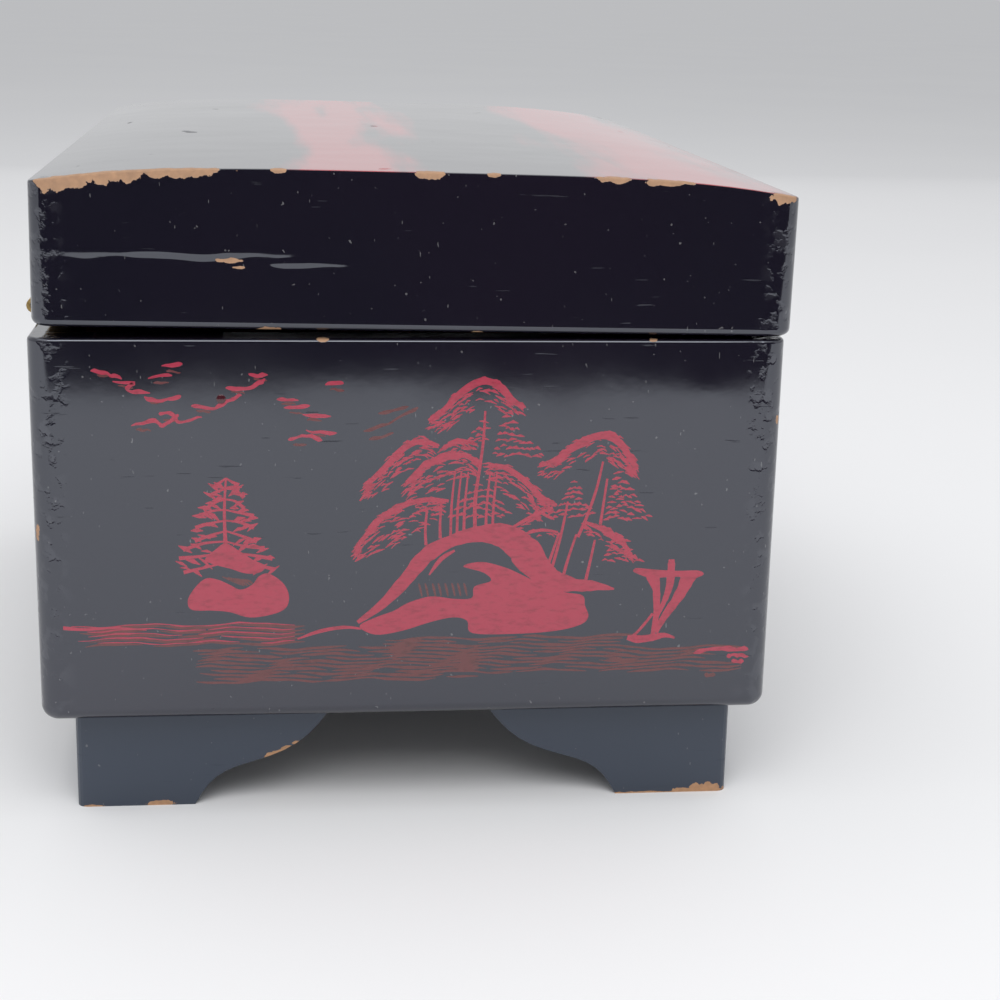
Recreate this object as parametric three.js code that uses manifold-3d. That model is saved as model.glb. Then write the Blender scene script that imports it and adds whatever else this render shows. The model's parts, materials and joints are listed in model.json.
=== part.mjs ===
// Musical jewelry box: a lacquered case on ogee bracket feet, a crowned lid with a mirror,
// a lift-out tray with ring rolls, and a comb music movement that plays when the lid is up.
// Millimetres, +Z up. The long sides run along X, the front faces -Y, the hinges are at +Y.
import * as THREE from 'three';
import { mergeVertices } from 'three/addons/utils/BufferGeometryUtils.js';
import Module from 'manifold-3d';

const wasm = await Module();
wasm.setup();

// Case
const length = 230;
const depth = 152;
const wall = 8;
const bodyTop = 101.1;
const cornerRadius = 4.5;
const lowerEdgeRadius = 6;
const rimEdgeRadius = 0.8;
const bottomThickness = 5;

// Bracket feet
const baseHeight = 21.5;
const baseInset = 6.3;
const bracketThickness = 8;
const bracketCorner = 2;
const footWidth = 24.5;
const bracketReach = 53.5;

// Lid
const lidHeight = 28;
const lidWall = 10;
const lidTopThickness = 5.5;
const lidCrown = 3.5;
const lidEdgeRadius = 1.5;
const lidShift = 1;
const lidGap = 2.3;
const lidTilt = THREE.MathUtils.degToRad(0.64);
const glueLine = 0.2;
const surroundThickness = 3;
const mirrorThickness = 2.5;
const mirrorLength = 140;
const mirrorDepth = 84;

// Hinges
const leafLength = 24;
const leafWidth = 7;
const leafThickness = 1;
const knuckleRadius = 1.6;
const hingePinRadius = 0.7;
const hingeBore = 0.85;
const knuckleGap = 0.3;
const hingeInset = 45;
const hingeClear = 0.3;

// Inside of the case
const partitionThickness = 4;
const partitionTop = 96;
const coverThickness = 2;
const coverClear = 4.4;
const ledgeWidth = 4;
const ledgeHeight = 4;
const padThickness = 1.5;
const fitClear = 0.3;

// Tray
const trayHeight = 26;
const trayWall = 3;
const traySideClear = 0.4;
const trayDividerPlace = -6;
const ringRolls = 3;
const rollHeight = 15;
const rollSideClear = 0.4;
const fingerNotchRadius = 9;

// Music movement, measured from the foot of its crown wheel's axis and its bedplate
const bedLength = 62;
const bedDepth = 50;
const bedThickness = 1.8;
const bedCorner = 3;
const bedMiddleX = 5;
const bedMiddleY = -3;
const bedClear = 2;
const bedEndClear = 3;
const bedBackClear = 6;
const axisHeight = 19.5;
const crownX = -12;
const crownTeeth = 44;
const crownPitchRadius = 10.95;
const crownToothBand = 1.5;
const crownToothWidth = 0.5;
const crownDisc = 1.5;
const drumPinionTeeth = 14;
const drumStart = 4;
const drumLength = 20;
const drumRadius = 6.5;
const combTeeth = 18;
const combPitch = 1.08;
const combThickness = 0.9;
const combToothLength = 11.5;
const combBase = 8;
const combClear = 0.15;
const pinHeight = 0.7;
const pinSize = 0.5;
const pinSteps = 28;
const arborRadius = 1.2;
const greatTeeth = 36;
const greatPitchRadius = 7.56;
const greatStart = 24.8;
const greatThickness = 1.5;
const governorPinionTeeth = 9;
const governorArborRadius = 0.6;
const wormTeeth = 20;
const wormLead = 1.5;
const wormPitchRadius = 1.25;
const wormX = 31;
const wormWheelThickness = 1.4;
const wormTurns = 5;
const governorFrameRise = 6;
const cheekGap = 2;
const cheekThickness = 1.4;
const fanRadius = 5;
const fanHeight = 5;
const fanClear = 0.4;
const shaftEnd = 0.6;
const pivotEnd = 0.2;
const bearingThickness = 1.6;
const leftBearing = 1.2;
const rightBearing = 27;
const runningClear = 0.12;
const springRadius = 11.2;
const springWall = 1;
const springTop = 13.2;
const springTurns = 5;
const windingArborRadius = 1.6;
const keyWidth = 22;
const keyHeight = 13;
const keyThickness = 2.4;
const keyGround = 3;

// Stop wire
const stopRadius = 0.7;
const stopFanClear = 0.33;
const stopFinger = 6;
const stopFingerDrop = 0.9;
const stopGuideRise = 24;
const stopGuideHeight = 4;

// Places worked out from the sizes
const innerX = length / 2 - wall;
const innerY = depth / 2 - wall;
const floorTop = baseHeight + bottomThickness;
const hingeSpacing = length - 2 * hingeInset;
const hingeAxisY = depth / 2 + knuckleRadius + hingeClear;
const hingeAxisZ = bodyTop + lidGap / 2;
const partitionRight = innerX - bedEndClear - bedLength - bedClear;
const partitionLeft = partitionRight - partitionThickness;
const crossBack = innerY - bedBackClear - bedDepth - bedClear;
const crossFront = crossBack - partitionThickness;
const movementX = partitionRight + bedClear + bedLength / 2 - bedMiddleX;
const movementY = crossBack + bedClear + bedDepth / 2 - bedMiddleY;
const governorFrameTop = axisHeight + governorFrameRise;
const fanTop = governorFrameTop + fanClear + fanHeight;
const coverHeight = floorTop + governorFrameTop + fanHeight + shaftEnd + coverClear;
const drumPinionRadius = crownPitchRadius * drumPinionTeeth / crownTeeth;
const governorPinionRadius = greatPitchRadius * governorPinionTeeth / greatTeeth;
const governorY = greatPitchRadius + governorPinionRadius;
const wormWheelRadius = wormLead * wormTeeth / (2 * Math.PI);
const wormY = governorY + wormWheelRadius + wormPitchRadius;
const stopX = innerX - stopRadius - fitClear;
const stopY = movementY + wormY + fanRadius + stopFanClear + stopRadius;

const axisX = new THREE.Vector3(1, 0, 0);
const axisY = new THREE.Vector3(0, 1, 0);
const axisZ = new THREE.Vector3(0, 0, 1);

// Solids and their joins
function toSolid(geometry) {
  const bare = geometry.clone();
  bare.deleteAttribute('normal');
  bare.deleteAttribute('uv');
  const merged = mergeVertices(bare, 1e-4);
  return new wasm.Manifold(new wasm.Mesh({
    numProp: 3,
    vertProperties: new Float32Array(merged.attributes.position.array),
    triVerts: new Uint32Array(merged.index.array),
  }));
}

function toGeometry(solid) {
  const mesh = solid.getMesh();
  const geometry = new THREE.BufferGeometry();
  geometry.setAttribute('position', new THREE.BufferAttribute(mesh.vertProperties, 3));
  geometry.setIndex(new THREE.BufferAttribute(mesh.triVerts, 1));
  return geometry;
}

function combine(first, others, how) {
  let solid = toSolid(first);
  for (const other of others) {
    solid = solid[how](toSolid(other));
  }
  return toGeometry(solid);
}

const cut = (first, ...others) => combine(first, others, 'subtract');
const join = (first, ...others) => combine(first, others, 'add');
const common = (first, ...others) => combine(first, others, 'intersect');

function box(x0, x1, y0, y1, z0, z1) {
  const geometry = new THREE.BoxGeometry(x1 - x0, y1 - y0, z1 - z0);
  return geometry.translate((x0 + x1) / 2, (y0 + y1) / 2, (z0 + z1) / 2);
}

function extrudeZ(shape, z0, z1, curveSegments = 2) {
  const geometry = new THREE.ExtrudeGeometry(shape, { depth: z1 - z0, bevelEnabled: false, curveSegments });
  return geometry.translate(0, 0, z0);
}

// The shape's first coordinate becomes Y and its second Z
function extrudeX(shape, x0, x1, curveSegments = 2) {
  const geometry = extrudeZ(shape, 0, x1 - x0, curveSegments);
  geometry.applyMatrix4(new THREE.Matrix4().makeBasis(axisY, axisZ, axisX));
  return geometry.translate(x0, 0, 0);
}

// The shape's first coordinate stays X and its second becomes Z
function extrudeY(shape, y0, y1, curveSegments = 2) {
  const geometry = extrudeZ(shape, 0, y1 - y0, curveSegments);
  return geometry.rotateX(Math.PI / 2).translate(0, y1, 0);
}

// A round rod along X, Y or Z, from one end to the other, with its axis at two other coordinates
function rod(axis, from, to, a, b, radius, sides = 16) {
  const geometry = new THREE.CylinderGeometry(radius, radius, to - from, sides);
  const middle = (from + to) / 2;
  if (axis === 'x') {
    return geometry.rotateZ(Math.PI / 2).translate(middle, a, b);
  }
  if (axis === 'z') {
    return geometry.rotateX(Math.PI / 2).translate(a, b, middle);
  }
  return geometry.translate(a, middle, b);
}

// A closed solid through rings that have the same number of points each
function loft(rings) {
  const count = rings[0].length;
  const positions = rings.flat().flatMap((point) => [point.x, point.y, point.z]);
  const index = [];
  for (let r = 0; r < rings.length - 1; r += 1) {
    for (let i = 0; i < count; i += 1) {
      const a = r * count + i;
      const b = r * count + (i + 1) % count;
      index.push(a, b, b + count, a, b + count, a + count);
    }
  }
  const last = (rings.length - 1) * count;
  for (let i = 1; i < count - 1; i += 1) {
    index.push(0, i + 1, i, last, last + i, last + i + 1);
  }
  const geometry = new THREE.BufferGeometry();
  geometry.setAttribute('position', new THREE.Float32BufferAttribute(positions, 3));
  geometry.setIndex(index);
  return signedVolume(geometry) < 0 ? flipped(geometry) : geometry;
}

function signedVolume(geometry) {
  const at = (i) => new THREE.Vector3().fromBufferAttribute(geometry.attributes.position, geometry.index.getX(i));
  let sum = 0;
  for (let i = 0; i < geometry.index.count; i += 3) {
    sum += at(i).dot(at(i + 1).cross(at(i + 2)));
  }
  return sum / 6;
}

function flipped(geometry) {
  const turned = Array.from(geometry.index.array);
  for (let i = 0; i < turned.length; i += 3) {
    [turned[i + 1], turned[i + 2]] = [turned[i + 2], turned[i + 1]];
  }
  geometry.setIndex(turned);
  return geometry;
}

// Outlines
function roundedRectangle(width, height, radius) {
  const x = width / 2 - radius;
  const y = height / 2 - radius;
  const shape = new THREE.Shape();
  shape.absarc(x, y, radius, 0, Math.PI / 2);
  shape.absarc(-x, y, radius, Math.PI / 2, Math.PI);
  shape.absarc(-x, -y, radius, Math.PI, Math.PI * 1.5);
  shape.absarc(x, -y, radius, Math.PI * 1.5, Math.PI * 2);
  return shape;
}

// Cross-section of a shell between two heights, rounded differently below and above
function sectionOutline(width, z0, z1, lowRadius, highRadius) {
  const half = width / 2;
  const shape = new THREE.Shape();
  shape.absarc(half - lowRadius, z0 + lowRadius, lowRadius, -Math.PI / 2, 0);
  shape.absarc(half - highRadius, z1 - highRadius, highRadius, 0, Math.PI / 2);
  shape.absarc(highRadius - half, z1 - highRadius, highRadius, Math.PI / 2, Math.PI);
  shape.absarc(lowRadius - half, z0 + lowRadius, lowRadius, Math.PI, Math.PI * 1.5);
  return shape;
}

// Gear outline with tapered teeth; toothAngle is where the first tooth points
function gearOutline(teeth, pitchRadius, addendum, dedendum, toothAngle, share = 0.4) {
  const step = 2 * Math.PI / teeth;
  const shape = new THREE.Shape();
  const corners = [[-0.68, -dedendum], [-0.3, addendum], [0.3, addendum], [0.68, -dedendum]];
  for (let i = 0; i < teeth; i += 1) {
    for (const [across, along] of corners) {
      const angle = toothAngle + step * (i + across * share);
      const radius = pitchRadius + along;
      const place = [radius * Math.cos(angle), radius * Math.sin(angle)];
      i === 0 && across === corners[0][0] ? shape.moveTo(...place) : shape.lineTo(...place);
    }
  }
  return shape;
}

function toothedWheel(outline, x0, x1, y, bore) {
  const wheel = extrudeX(outline, x0, x1).translate(0, y, axisHeight);
  return cut(wheel, rod('x', x0 - 1, x1 + 1, y, axisHeight, bore));
}

// Finishes
const lacquer = { color: 0x0b0a0c, roughness: 0.12, metalness: 0 };
const satinLacquer = { color: 0x1b1d22, roughness: 0.4, metalness: 0 };
const wood = { color: 0xa9814f, roughness: 0.7, metalness: 0 };
const velvet = { color: 0x8c1220, roughness: 0.95, metalness: 0 };
const brass = { color: 0xc9a24a, roughness: 0.3, metalness: 1 };
const steel = { color: 0xb9bcc0, roughness: 0.25, metalness: 1 };
const glass = { color: 0xdfe8ea, roughness: 0.05, metalness: 0 };
const mirror = { color: 0xe6ecee, roughness: 0.02, metalness: 1 };
const plastic = { color: 0xe9e4d4, roughness: 0.45, metalness: 0 };

function piece(name, geometry, finish) {
  const mesh = new THREE.Mesh(geometry, new THREE.MeshStandardMaterial(finish));
  mesh.name = name;
  return mesh;
}

// Case boards, cut out of one rounded outer form
function caseWalls() {
  const outer = common(
    extrudeZ(roundedRectangle(length, depth, cornerRadius), baseHeight, bodyTop),
    extrudeX(sectionOutline(depth, baseHeight, bodyTop, lowerEdgeRadius, rimEdgeRadius), -length, length),
    extrudeY(sectionOutline(length, baseHeight, bodyTop, lowerEdgeRadius, rimEdgeRadius), -depth, depth),
  );
  const [z0, z1] = [0, bodyTop + wall];
  return [
    piece('front_wall', common(outer, box(-length, length, -depth, -innerY, z0, z1)), lacquer),
    piece('back_wall', common(outer, box(-length, length, innerY, depth, z0, z1)), lacquer),
    piece('left_end_wall', common(outer, box(-length, -innerX, -innerY, innerY, z0, z1)), lacquer),
    piece('right_end_wall', common(outer, box(innerX, length, -innerY, innerY, z0, z1)), lacquer),
    piece('bottom_board', cut(
      box(-innerX, innerX, -innerY, innerY, baseHeight, floorTop),
      rod('z', 0, bodyTop, movementX + crownX, movementY, windingArborRadius * 2.5),
    ), wood),
  ];
}

// Ogee outline of one bracket, from its outer corner, with a mirrored copy for the other hand
function bracketOutline(start, hand) {
  const along = (u) => hand * u;
  const shape = new THREE.Shape();
  const kneeAlong = footWidth + (bracketReach - footWidth) * 0.42;
  const kneeHeight = baseHeight * 0.44;
  shape.moveTo(along(start), 0);
  shape.lineTo(along(footWidth), 0);
  shape.bezierCurveTo(
    along(footWidth + 3), baseHeight * 0.26,
    along(footWidth + 5), baseHeight * 0.35,
    along(kneeAlong), kneeHeight,
  );
  shape.bezierCurveTo(
    along(bracketReach - 9), baseHeight * 0.55,
    along(bracketReach - 5.5), baseHeight * 0.63,
    along(bracketReach), baseHeight,
  );
  shape.lineTo(along(start), baseHeight);
  return shape;
}

// Each foot is two boards that meet at the corner: the end board shows its full face
function bracketFeet() {
  const baseX = length / 2 - baseInset;
  const baseY = depth / 2 - baseInset;
  const plan = extrudeZ(roundedRectangle(2 * baseX, 2 * baseY, bracketCorner), 0, baseHeight);
  const pieces = [];
  for (const [endName, sideX] of [['left', -1], ['right', 1]]) {
    for (const [sideName, sideY] of [['front', -1], ['back', 1]]) {
      const [x0, x1] = [sideX * baseX, sideX * (baseX - bracketThickness)].sort((a, b) => a - b);
      const endBoard = extrudeX(bracketOutline(0, -sideY), x0, x1, 6).translate(0, sideY * baseY, 0);
      const [y0, y1] = [sideY * baseY, sideY * (baseY - bracketThickness)].sort((a, b) => a - b);
      const sideBoard = extrudeY(bracketOutline(bracketThickness, -sideX), y0, y1, 6).translate(sideX * baseX, 0, 0);
      pieces.push(piece(`${endName}_end_${sideName}_bracket`, common(plan, endBoard), satinLacquer));
      pieces.push(piece(`${sideName}_${endName}_bracket`, sideBoard, satinLacquer));
    }
  }
  return pieces;
}

function caseInterior() {
  const ledgeTop = coverHeight;
  const ledgeLow = coverHeight - ledgeHeight;
  const pane = box(
    partitionRight + fitClear, innerX - fitClear, crossFront, innerY - fitClear,
    coverHeight, coverHeight + coverThickness,
  );
  const wireNotch = box(
    stopX - 2 * stopRadius, innerX, stopY - 2 * stopRadius, stopY + 2 * stopRadius,
    coverHeight - 1, coverHeight + coverThickness + 1,
  );
  const pads = floorTop + padThickness;
  return [
    piece('long_partition', box(partitionLeft, partitionRight, -innerY, innerY, floorTop, partitionTop), velvet),
    piece('cross_partition', box(partitionRight, innerX, crossFront, crossBack, floorTop, coverHeight), velvet),
    piece('tray_ledge_left', box(-innerX, ledgeWidth - innerX, -innerY, innerY, ledgeLow, ledgeTop), wood),
    piece('tray_ledge_right', box(partitionLeft - ledgeWidth, partitionLeft, -innerY, innerY, ledgeLow, ledgeTop), wood),
    piece('cover_ledge', box(partitionRight, innerX, innerY - ledgeWidth, innerY, ledgeLow, ledgeTop), wood),
    piece('movement_cover', cut(pane, wireNotch), glass),
    piece('main_floor_pad', box(
      fitClear - innerX, partitionLeft - fitClear, fitClear - innerY, innerY - fitClear, floorTop, pads,
    ), velvet),
    piece('front_floor_pad', box(
      partitionRight + fitClear, innerX - fitClear, fitClear - innerY, crossFront - fitClear, floorTop, pads,
    ), velvet),
  ];
}

// Hinge leaf with its knuckles; side is -1 for the leaf on the case and 1 for the leaf under the lid
function hingeLeaf(side, knuckles) {
  const leafZ = side * lidGap / 2;
  const [z0, z1] = [leafZ, leafZ - side * leafThickness].sort((a, b) => a - b);
  const reach = knuckleRadius + hingeClear + leafWidth;
  let leaf = box(-leafLength / 2, leafLength / 2, -reach, -knuckleRadius - hingeClear / 2, z0, z1);
  for (const [from, to] of knuckles) {
    leaf = join(leaf, rod('x', from, to, 0, 0, knuckleRadius), box(from, to, -reach, 0, z0, z1));
  }
  const [start, end] = [-leafLength, leafLength];
  return cut(leaf, rod('x', start, end, 0, 0, hingeBore));
}

function hingeParts() {
  const third = leafLength / 3;
  const outer = [[-leafLength / 2, -third / 2], [third / 2, leafLength / 2]];
  const middle = [[knuckleGap - third / 2, third / 2 - knuckleGap]];
  const caseSide = [];
  const lidSide = [];
  for (const [name, hand] of [['left', -1], ['right', 1]]) {
    const place = hand * hingeSpacing / 2;
    const leaf = piece(`${name}_case_leaf`, hingeLeaf(-1, outer), brass);
    leaf.position.set(place, hingeAxisY, hingeAxisZ);
    const pin = piece(`${name}_hinge_pin`, rod('x', -leafLength / 2, leafLength / 2, 0, 0, hingePinRadius), brass);
    pin.position.copy(leaf.position);
    caseSide.push(leaf, pin);
    const upper = piece(`${name}_lid_leaf`, hingeLeaf(1, middle), brass);
    upper.position.set(place, 0, 0);
    lidSide.push(upper);
  }
  return { caseSide, lidSide };
}

// Lid top outline across the depth: flat in the middle and falling towards the edges
function crownedOutline(low, sideTop) {
  const half = depth / 2;
  const steps = 12;
  const shape = new THREE.Shape();
  shape.moveTo(-half, low);
  shape.lineTo(half, low);
  for (let i = 0; i <= steps; i += 1) {
    const across = 1 - 2 * i / steps;
    shape.lineTo(half * across, sideTop + lidCrown * (1 - across ** 4));
  }
  return shape;
}

// The lid is built with its lower edge at z 0 and then hung on the hinge axis
function lidParts() {
  const outer = common(
    extrudeZ(roundedRectangle(length, depth, cornerRadius), 0, lidHeight + lidCrown),
    extrudeX(crownedOutline(0, lidHeight), -length, length),
    extrudeX(sectionOutline(depth, 0, 2 * lidHeight, lidEdgeRadius, lidEdgeRadius), -length, length),
    extrudeY(sectionOutline(length, 0, 2 * lidHeight, lidEdgeRadius, lidEdgeRadius), -depth, depth),
  );
  const underTop = lidHeight - lidTopThickness;
  const rimTop = underTop - glueLine;
  const rimX = length / 2 - lidWall;
  const rimY = depth / 2 - lidWall;
  const endY = rimY - glueLine;
  const surroundLow = underTop - glueLine - surroundThickness;
  const surroundX = rimX - glueLine;
  const surroundY = rimY - glueLine;
  const openingX = mirrorLength / 2 + glueLine;
  const openingY = mirrorDepth / 2 + glueLine;
  return [
    piece('lid_top', common(outer, box(-length, length, -depth, depth, underTop, 2 * lidHeight)), lacquer),
    piece('lid_front_rim', common(outer, box(-length, length, -depth, -rimY, 0, rimTop)), lacquer),
    piece('lid_back_rim', common(outer, box(-length, length, rimY, depth, 0, rimTop)), lacquer),
    piece('lid_left_rim', common(outer, box(-length, -rimX, -endY, endY, 0, rimTop)), lacquer),
    piece('lid_right_rim', common(outer, box(rimX, length, -endY, endY, 0, rimTop)), lacquer),
    piece('mirror_surround', cut(
      box(-surroundX, surroundX, -surroundY, surroundY, surroundLow, rimTop),
      box(-openingX, openingX, -openingY, openingY, 0, lidHeight),
    ), velvet),
    piece('lid_mirror', box(
      -mirrorLength / 2, mirrorLength / 2, -mirrorDepth / 2, mirrorDepth / 2, rimTop - mirrorThickness, rimTop,
    ), mirror),
  ];
}

// Ring roll: a padded bar with a flat base, a crowned back and drawn-in ends
function ringRoll(rollLength, rollWidth) {
  const stations = 10;
  const sides = 10;
  const rings = [];
  for (let s = 0; s <= stations; s += 1) {
    const along = 2 * s / stations - 1;
    const fullness = 0.72 + 0.28 * Math.sqrt(1 - Math.abs(along) ** 5);
    const ring = [];
    for (let i = 0; i < sides; i += 1) {
      const angle = Math.PI * i / (sides - 1);
      const y = rollWidth / 2 * fullness * Math.cos(angle);
      const z = rollHeight * fullness * Math.sin(angle) ** 0.8;
      ring.push(new THREE.Vector3(along * rollLength / 2, y, z));
    }
    rings.push(ring);
  }
  return loft(rings);
}

function trayParts() {
  const half = { x: (partitionLeft + innerX) / 2 - traySideClear, y: innerY - traySideClear };
  const inside = { x: half.x - trayWall, y: half.y - trayWall };
  const shell = box(-half.x, half.x, -half.y, half.y, 0, trayHeight);
  const hollow = box(-inside.x, inside.x, -inside.y, inside.y, trayWall, trayHeight + 1);
  const fingerNotches = rod('x', -length, length, 0, trayHeight, fingerNotchRadius, 24);
  const dividerBack = trayDividerPlace + trayWall;
  const divider = box(
    -inside.x, inside.x, trayDividerPlace, dividerBack, trayWall, trayHeight - trayWall,
  );
  const trays = [
    piece('tray_box', cut(shell, hollow, fingerNotches), velvet),
    piece('tray_divider', divider, velvet),
  ];
  const rollPitch = (inside.y - dividerBack) / ringRolls;
  for (let i = 0; i < ringRolls; i += 1) {
    const roll = piece(
      `ring_roll_${i + 1}`,
      ringRoll(2 * (inside.x - rollSideClear), rollPitch - 2 * rollSideClear),
      velvet,
    );
    roll.position.set(0, dividerBack + rollPitch * (i + 0.5), trayWall + fitClear);
    trays.push(roll);
  }
  return trays;
}

// Mainspring: a flat strip wound as a spiral inside its housing
function mainspring() {
  const inner = windingArborRadius + 1;
  const outer = springRadius - springWall - 0.6;
  const strip = 0.4;
  const stepsPerTurn = 14;
  const [z0, z1] = [bedThickness + springWall + fitClear, springTop - 0.6];
  const rings = [];
  for (let i = 0; i <= springTurns * stepsPerTurn; i += 1) {
    const share = i / (springTurns * stepsPerTurn);
    const angle = 2 * Math.PI * springTurns * share;
    const radius = inner + (outer - inner - strip) * share;
    const spot = (r, z) => new THREE.Vector3(r * Math.cos(angle), r * Math.sin(angle), z);
    rings.push([spot(radius, z0), spot(radius + strip, z0), spot(radius + strip, z1), spot(radius, z1)]);
  }
  return loft(rings).translate(crownX, 0, 0);
}

// Wheel whose teeth stand up from its face; they drive the pinion on the cylinder arbor
function crownWheel() {
  const pitchPlane = axisHeight - drumPinionRadius;
  const toothTop = pitchPlane + 0.6;
  const discTop = pitchPlane - 0.72;
  const outer = crownPitchRadius + crownToothBand / 2;
  let wheel = rod('z', discTop - crownDisc, discTop, 0, 0, outer + 0.1, 44);
  for (let i = 0; i < crownTeeth; i += 1) {
    const tooth = box(outer - crownToothBand, outer, -crownToothWidth / 2, crownToothWidth / 2, discTop - 0.5, toothTop);
    tooth.rotateZ(2 * Math.PI * (i + 0.5) / crownTeeth);
    wheel = join(wheel, tooth);
  }
  return cut(wheel, rod('z', 0, axisHeight, 0, 0, windingArborRadius + runningClear)).translate(crownX, 0, 0);
}

// Butterfly key: two pierced wings on a hub, turned by hand under the box
function windingKey() {
  const low = keyGround - floorTop;
  const middle = low + keyHeight / 2;
  const shape = new THREE.Shape();
  const lobe = keyHeight / 2;
  const reach = keyWidth / 2 - lobe;
  shape.absarc(reach, 0, lobe, -Math.PI / 2, Math.PI / 2);
  shape.lineTo(0, lobe * 0.55);
  shape.absarc(-reach, 0, lobe, Math.PI / 2, Math.PI * 1.5);
  shape.lineTo(0, -lobe * 0.55);
  let wings = extrudeY(shape, -keyThickness / 2, keyThickness / 2, 4);
  for (const hand of [-1, 1]) {
    const eye = rod('y', -keyThickness, keyThickness, hand * (reach + lobe * 0.1), 0, lobe * 0.45, 12);
    wings = cut(wings, eye);
  }
  const hub = rod('z', -lobe * 0.5, lobe + 1.5, 0, 0, windingArborRadius + 1.4, 12);
  const bore = rod('z', -lobe * 0.2, lobe + 3, 0, 0, windingArborRadius + runningClear, 12);
  return cut(join(wings, hub), bore).translate(crownX, 0, middle);
}

// Drum with one pin for each note, at places that follow a plain counting rule
function pinnedCylinder() {
  const x1 = drumStart + drumLength;
  const recess = { depth: 1.4, radius: drumRadius - 1.2 };
  let drum = rod('x', drumStart, x1, 0, 0, drumRadius, 36);
  drum = cut(
    drum,
    rod('x', drumStart - 1, drumStart + recess.depth, 0, 0, recess.radius, 18),
    rod('x', x1 - recess.depth, x1 + 1, 0, 0, recess.radius, 18),
    rod('x', drumStart - 1, x1 + 1, 0, 0, arborRadius + runningClear),
  );
  const firstTrack = drumStart + (drumLength - (combTeeth - 1) * combPitch) / 2;
  const pins = [];
  for (let track = 0; track < combTeeth; track += 1) {
    const notes = 4 + (track * 5) % 4;
    for (let note = 0; note < notes; note += 1) {
      const step = (track * 11 + note * 9 + (note * track) % 5) % pinSteps;
      const pin = box(-pinSize / 2, pinSize / 2, -pinSize / 2, pinSize / 2, drumRadius - 0.4, drumRadius + pinHeight);
      pin.rotateX(2 * Math.PI * (step + 0.5) / pinSteps);
      pins.push(pin.translate(firstTrack + track * combPitch, 0, 0));
    }
  }
  return join(drum, ...pins).translate(0, 0, axisHeight);
}

// Steel comb: one plate with a tooth over each track of the cylinder
function comb() {
  const tip = -(drumRadius + pinHeight + combClear);
  const root = tip - combToothLength;
  const gap = combPitch * 0.26;
  const start = drumStart + (drumLength - combTeeth * combPitch) / 2;
  const end = start + combTeeth * combPitch;
  const shape = new THREE.Shape();
  shape.moveTo(start - 1, root - combBase);
  shape.lineTo(end + 1, root - combBase);
  shape.lineTo(end + 1, root);
  for (let i = combTeeth - 1; i >= 0; i -= 1) {
    const left = start + i * combPitch + gap / 2;
    const right = left + combPitch - gap;
    shape.lineTo(right, root);
    shape.lineTo(right, tip);
    shape.lineTo(left, tip);
    shape.lineTo(left, root);
  }
  shape.lineTo(start - 1, root);
  return extrudeZ(shape, axisHeight - combThickness / 2, axisHeight + combThickness / 2);
}

function combBlock() {
  const back = -(drumRadius + pinHeight + combClear + combToothLength);
  const start = drumStart - 0.5;
  const top = axisHeight - combThickness / 2;
  const foot = box(start, start + drumLength + 1, back - combBase - 0.5, back - 0.5, bedThickness, top);
  const relief = box(start + 4, start + drumLength - 3, back - combBase - 1, back, bedThickness + 3, top - 4);
  return cut(foot, relief);
}

// Upright bearing plate with round shoulders and one or two pivot holes
function bearing(x0, pivots) {
  const reach = 5;
  const [first, last] = [pivots[0], pivots[pivots.length - 1]];
  const shape = new THREE.Shape();
  shape.moveTo(first.y - reach - 1.5, bedThickness);
  shape.lineTo(last.y + reach, bedThickness);
  shape.lineTo(last.y + 3.5, axisHeight);
  shape.absarc(last.y, axisHeight, 3.5, 0, Math.PI / 2);
  shape.absarc(first.y, axisHeight, 3.5, Math.PI / 2, Math.PI);
  const plate = extrudeX(shape, x0, x0 + bearingThickness);
  const bores = pivots.map(({ y, radius }) => (
    rod('x', x0 - 1, x0 + bearingThickness + 1, y, axisHeight, radius + runningClear)
  ));
  return cut(plate, ...bores);
}

// Frame that carries the worm wheel's outer pivot and both ends of the upright worm
function governorFrame() {
  const front = rightBearing + bearingThickness + fitClear;
  const cheek = { x0: wormX + cheekGap, x1: wormX + cheekGap + cheekThickness };
  const top = governorFrameTop;
  const post = box(front, cheek.x1, wormY + 3.6, wormY + 6, bedThickness, top);
  const plate = box(cheek.x0, cheek.x1, governorY - 3.5, wormY + 6, bedThickness, top);
  const arm = (z) => box(wormX - 1.8, cheek.x0 + 0.5, wormY - 2.3, wormY + 4, z, z + cheekThickness);
  return cut(
    join(post, plate, arm(top - cheekThickness), arm(axisHeight - 8.5)),
    rod('z', 0, top + 1, wormX, wormY, governorArborRadius + runningClear),
    rod('x', cheek.x0 - 1, cheek.x1 + 1, governorY, axisHeight, governorArborRadius + runningClear),
  );
}

// Upright worm: a right-hand thread whose gap faces the worm wheel's tooth at rest
function wormShaft() {
  const stepsPerTurn = 12;
  const core = wormPitchRadius - 0.5;
  const crest = wormPitchRadius + 0.42;
  const first = -wormTurns / 2 - 0.75;
  const rings = [];
  for (let i = 0; i <= wormTurns * stepsPerTurn; i += 1) {
    const turns = first + i / stepsPerTurn;
    const angle = 2 * Math.PI * turns;
    const z = wormLead * (turns + 0.75);
    const spot = (r, dz) => new THREE.Vector3(r * Math.cos(angle), r * Math.sin(angle), z + dz);
    const base = wormLead * 0.25;
    const land = wormLead * 0.1;
    rings.push([spot(core - 0.2, -base), spot(crest, -land), spot(crest, land), spot(core - 0.2, base)]);
  }
  const thread = loft(rings);
  const half = wormLead * (wormTurns + 0.6) / 2;
  const barrel = rod('z', -half, half, 0, 0, core);
  const shaft = rod('z', -9, governorFrameRise + fanHeight + shaftEnd, 0, 0, governorArborRadius, 12);
  return join(barrel, thread, shaft).translate(wormX, wormY, axisHeight);
}

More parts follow.
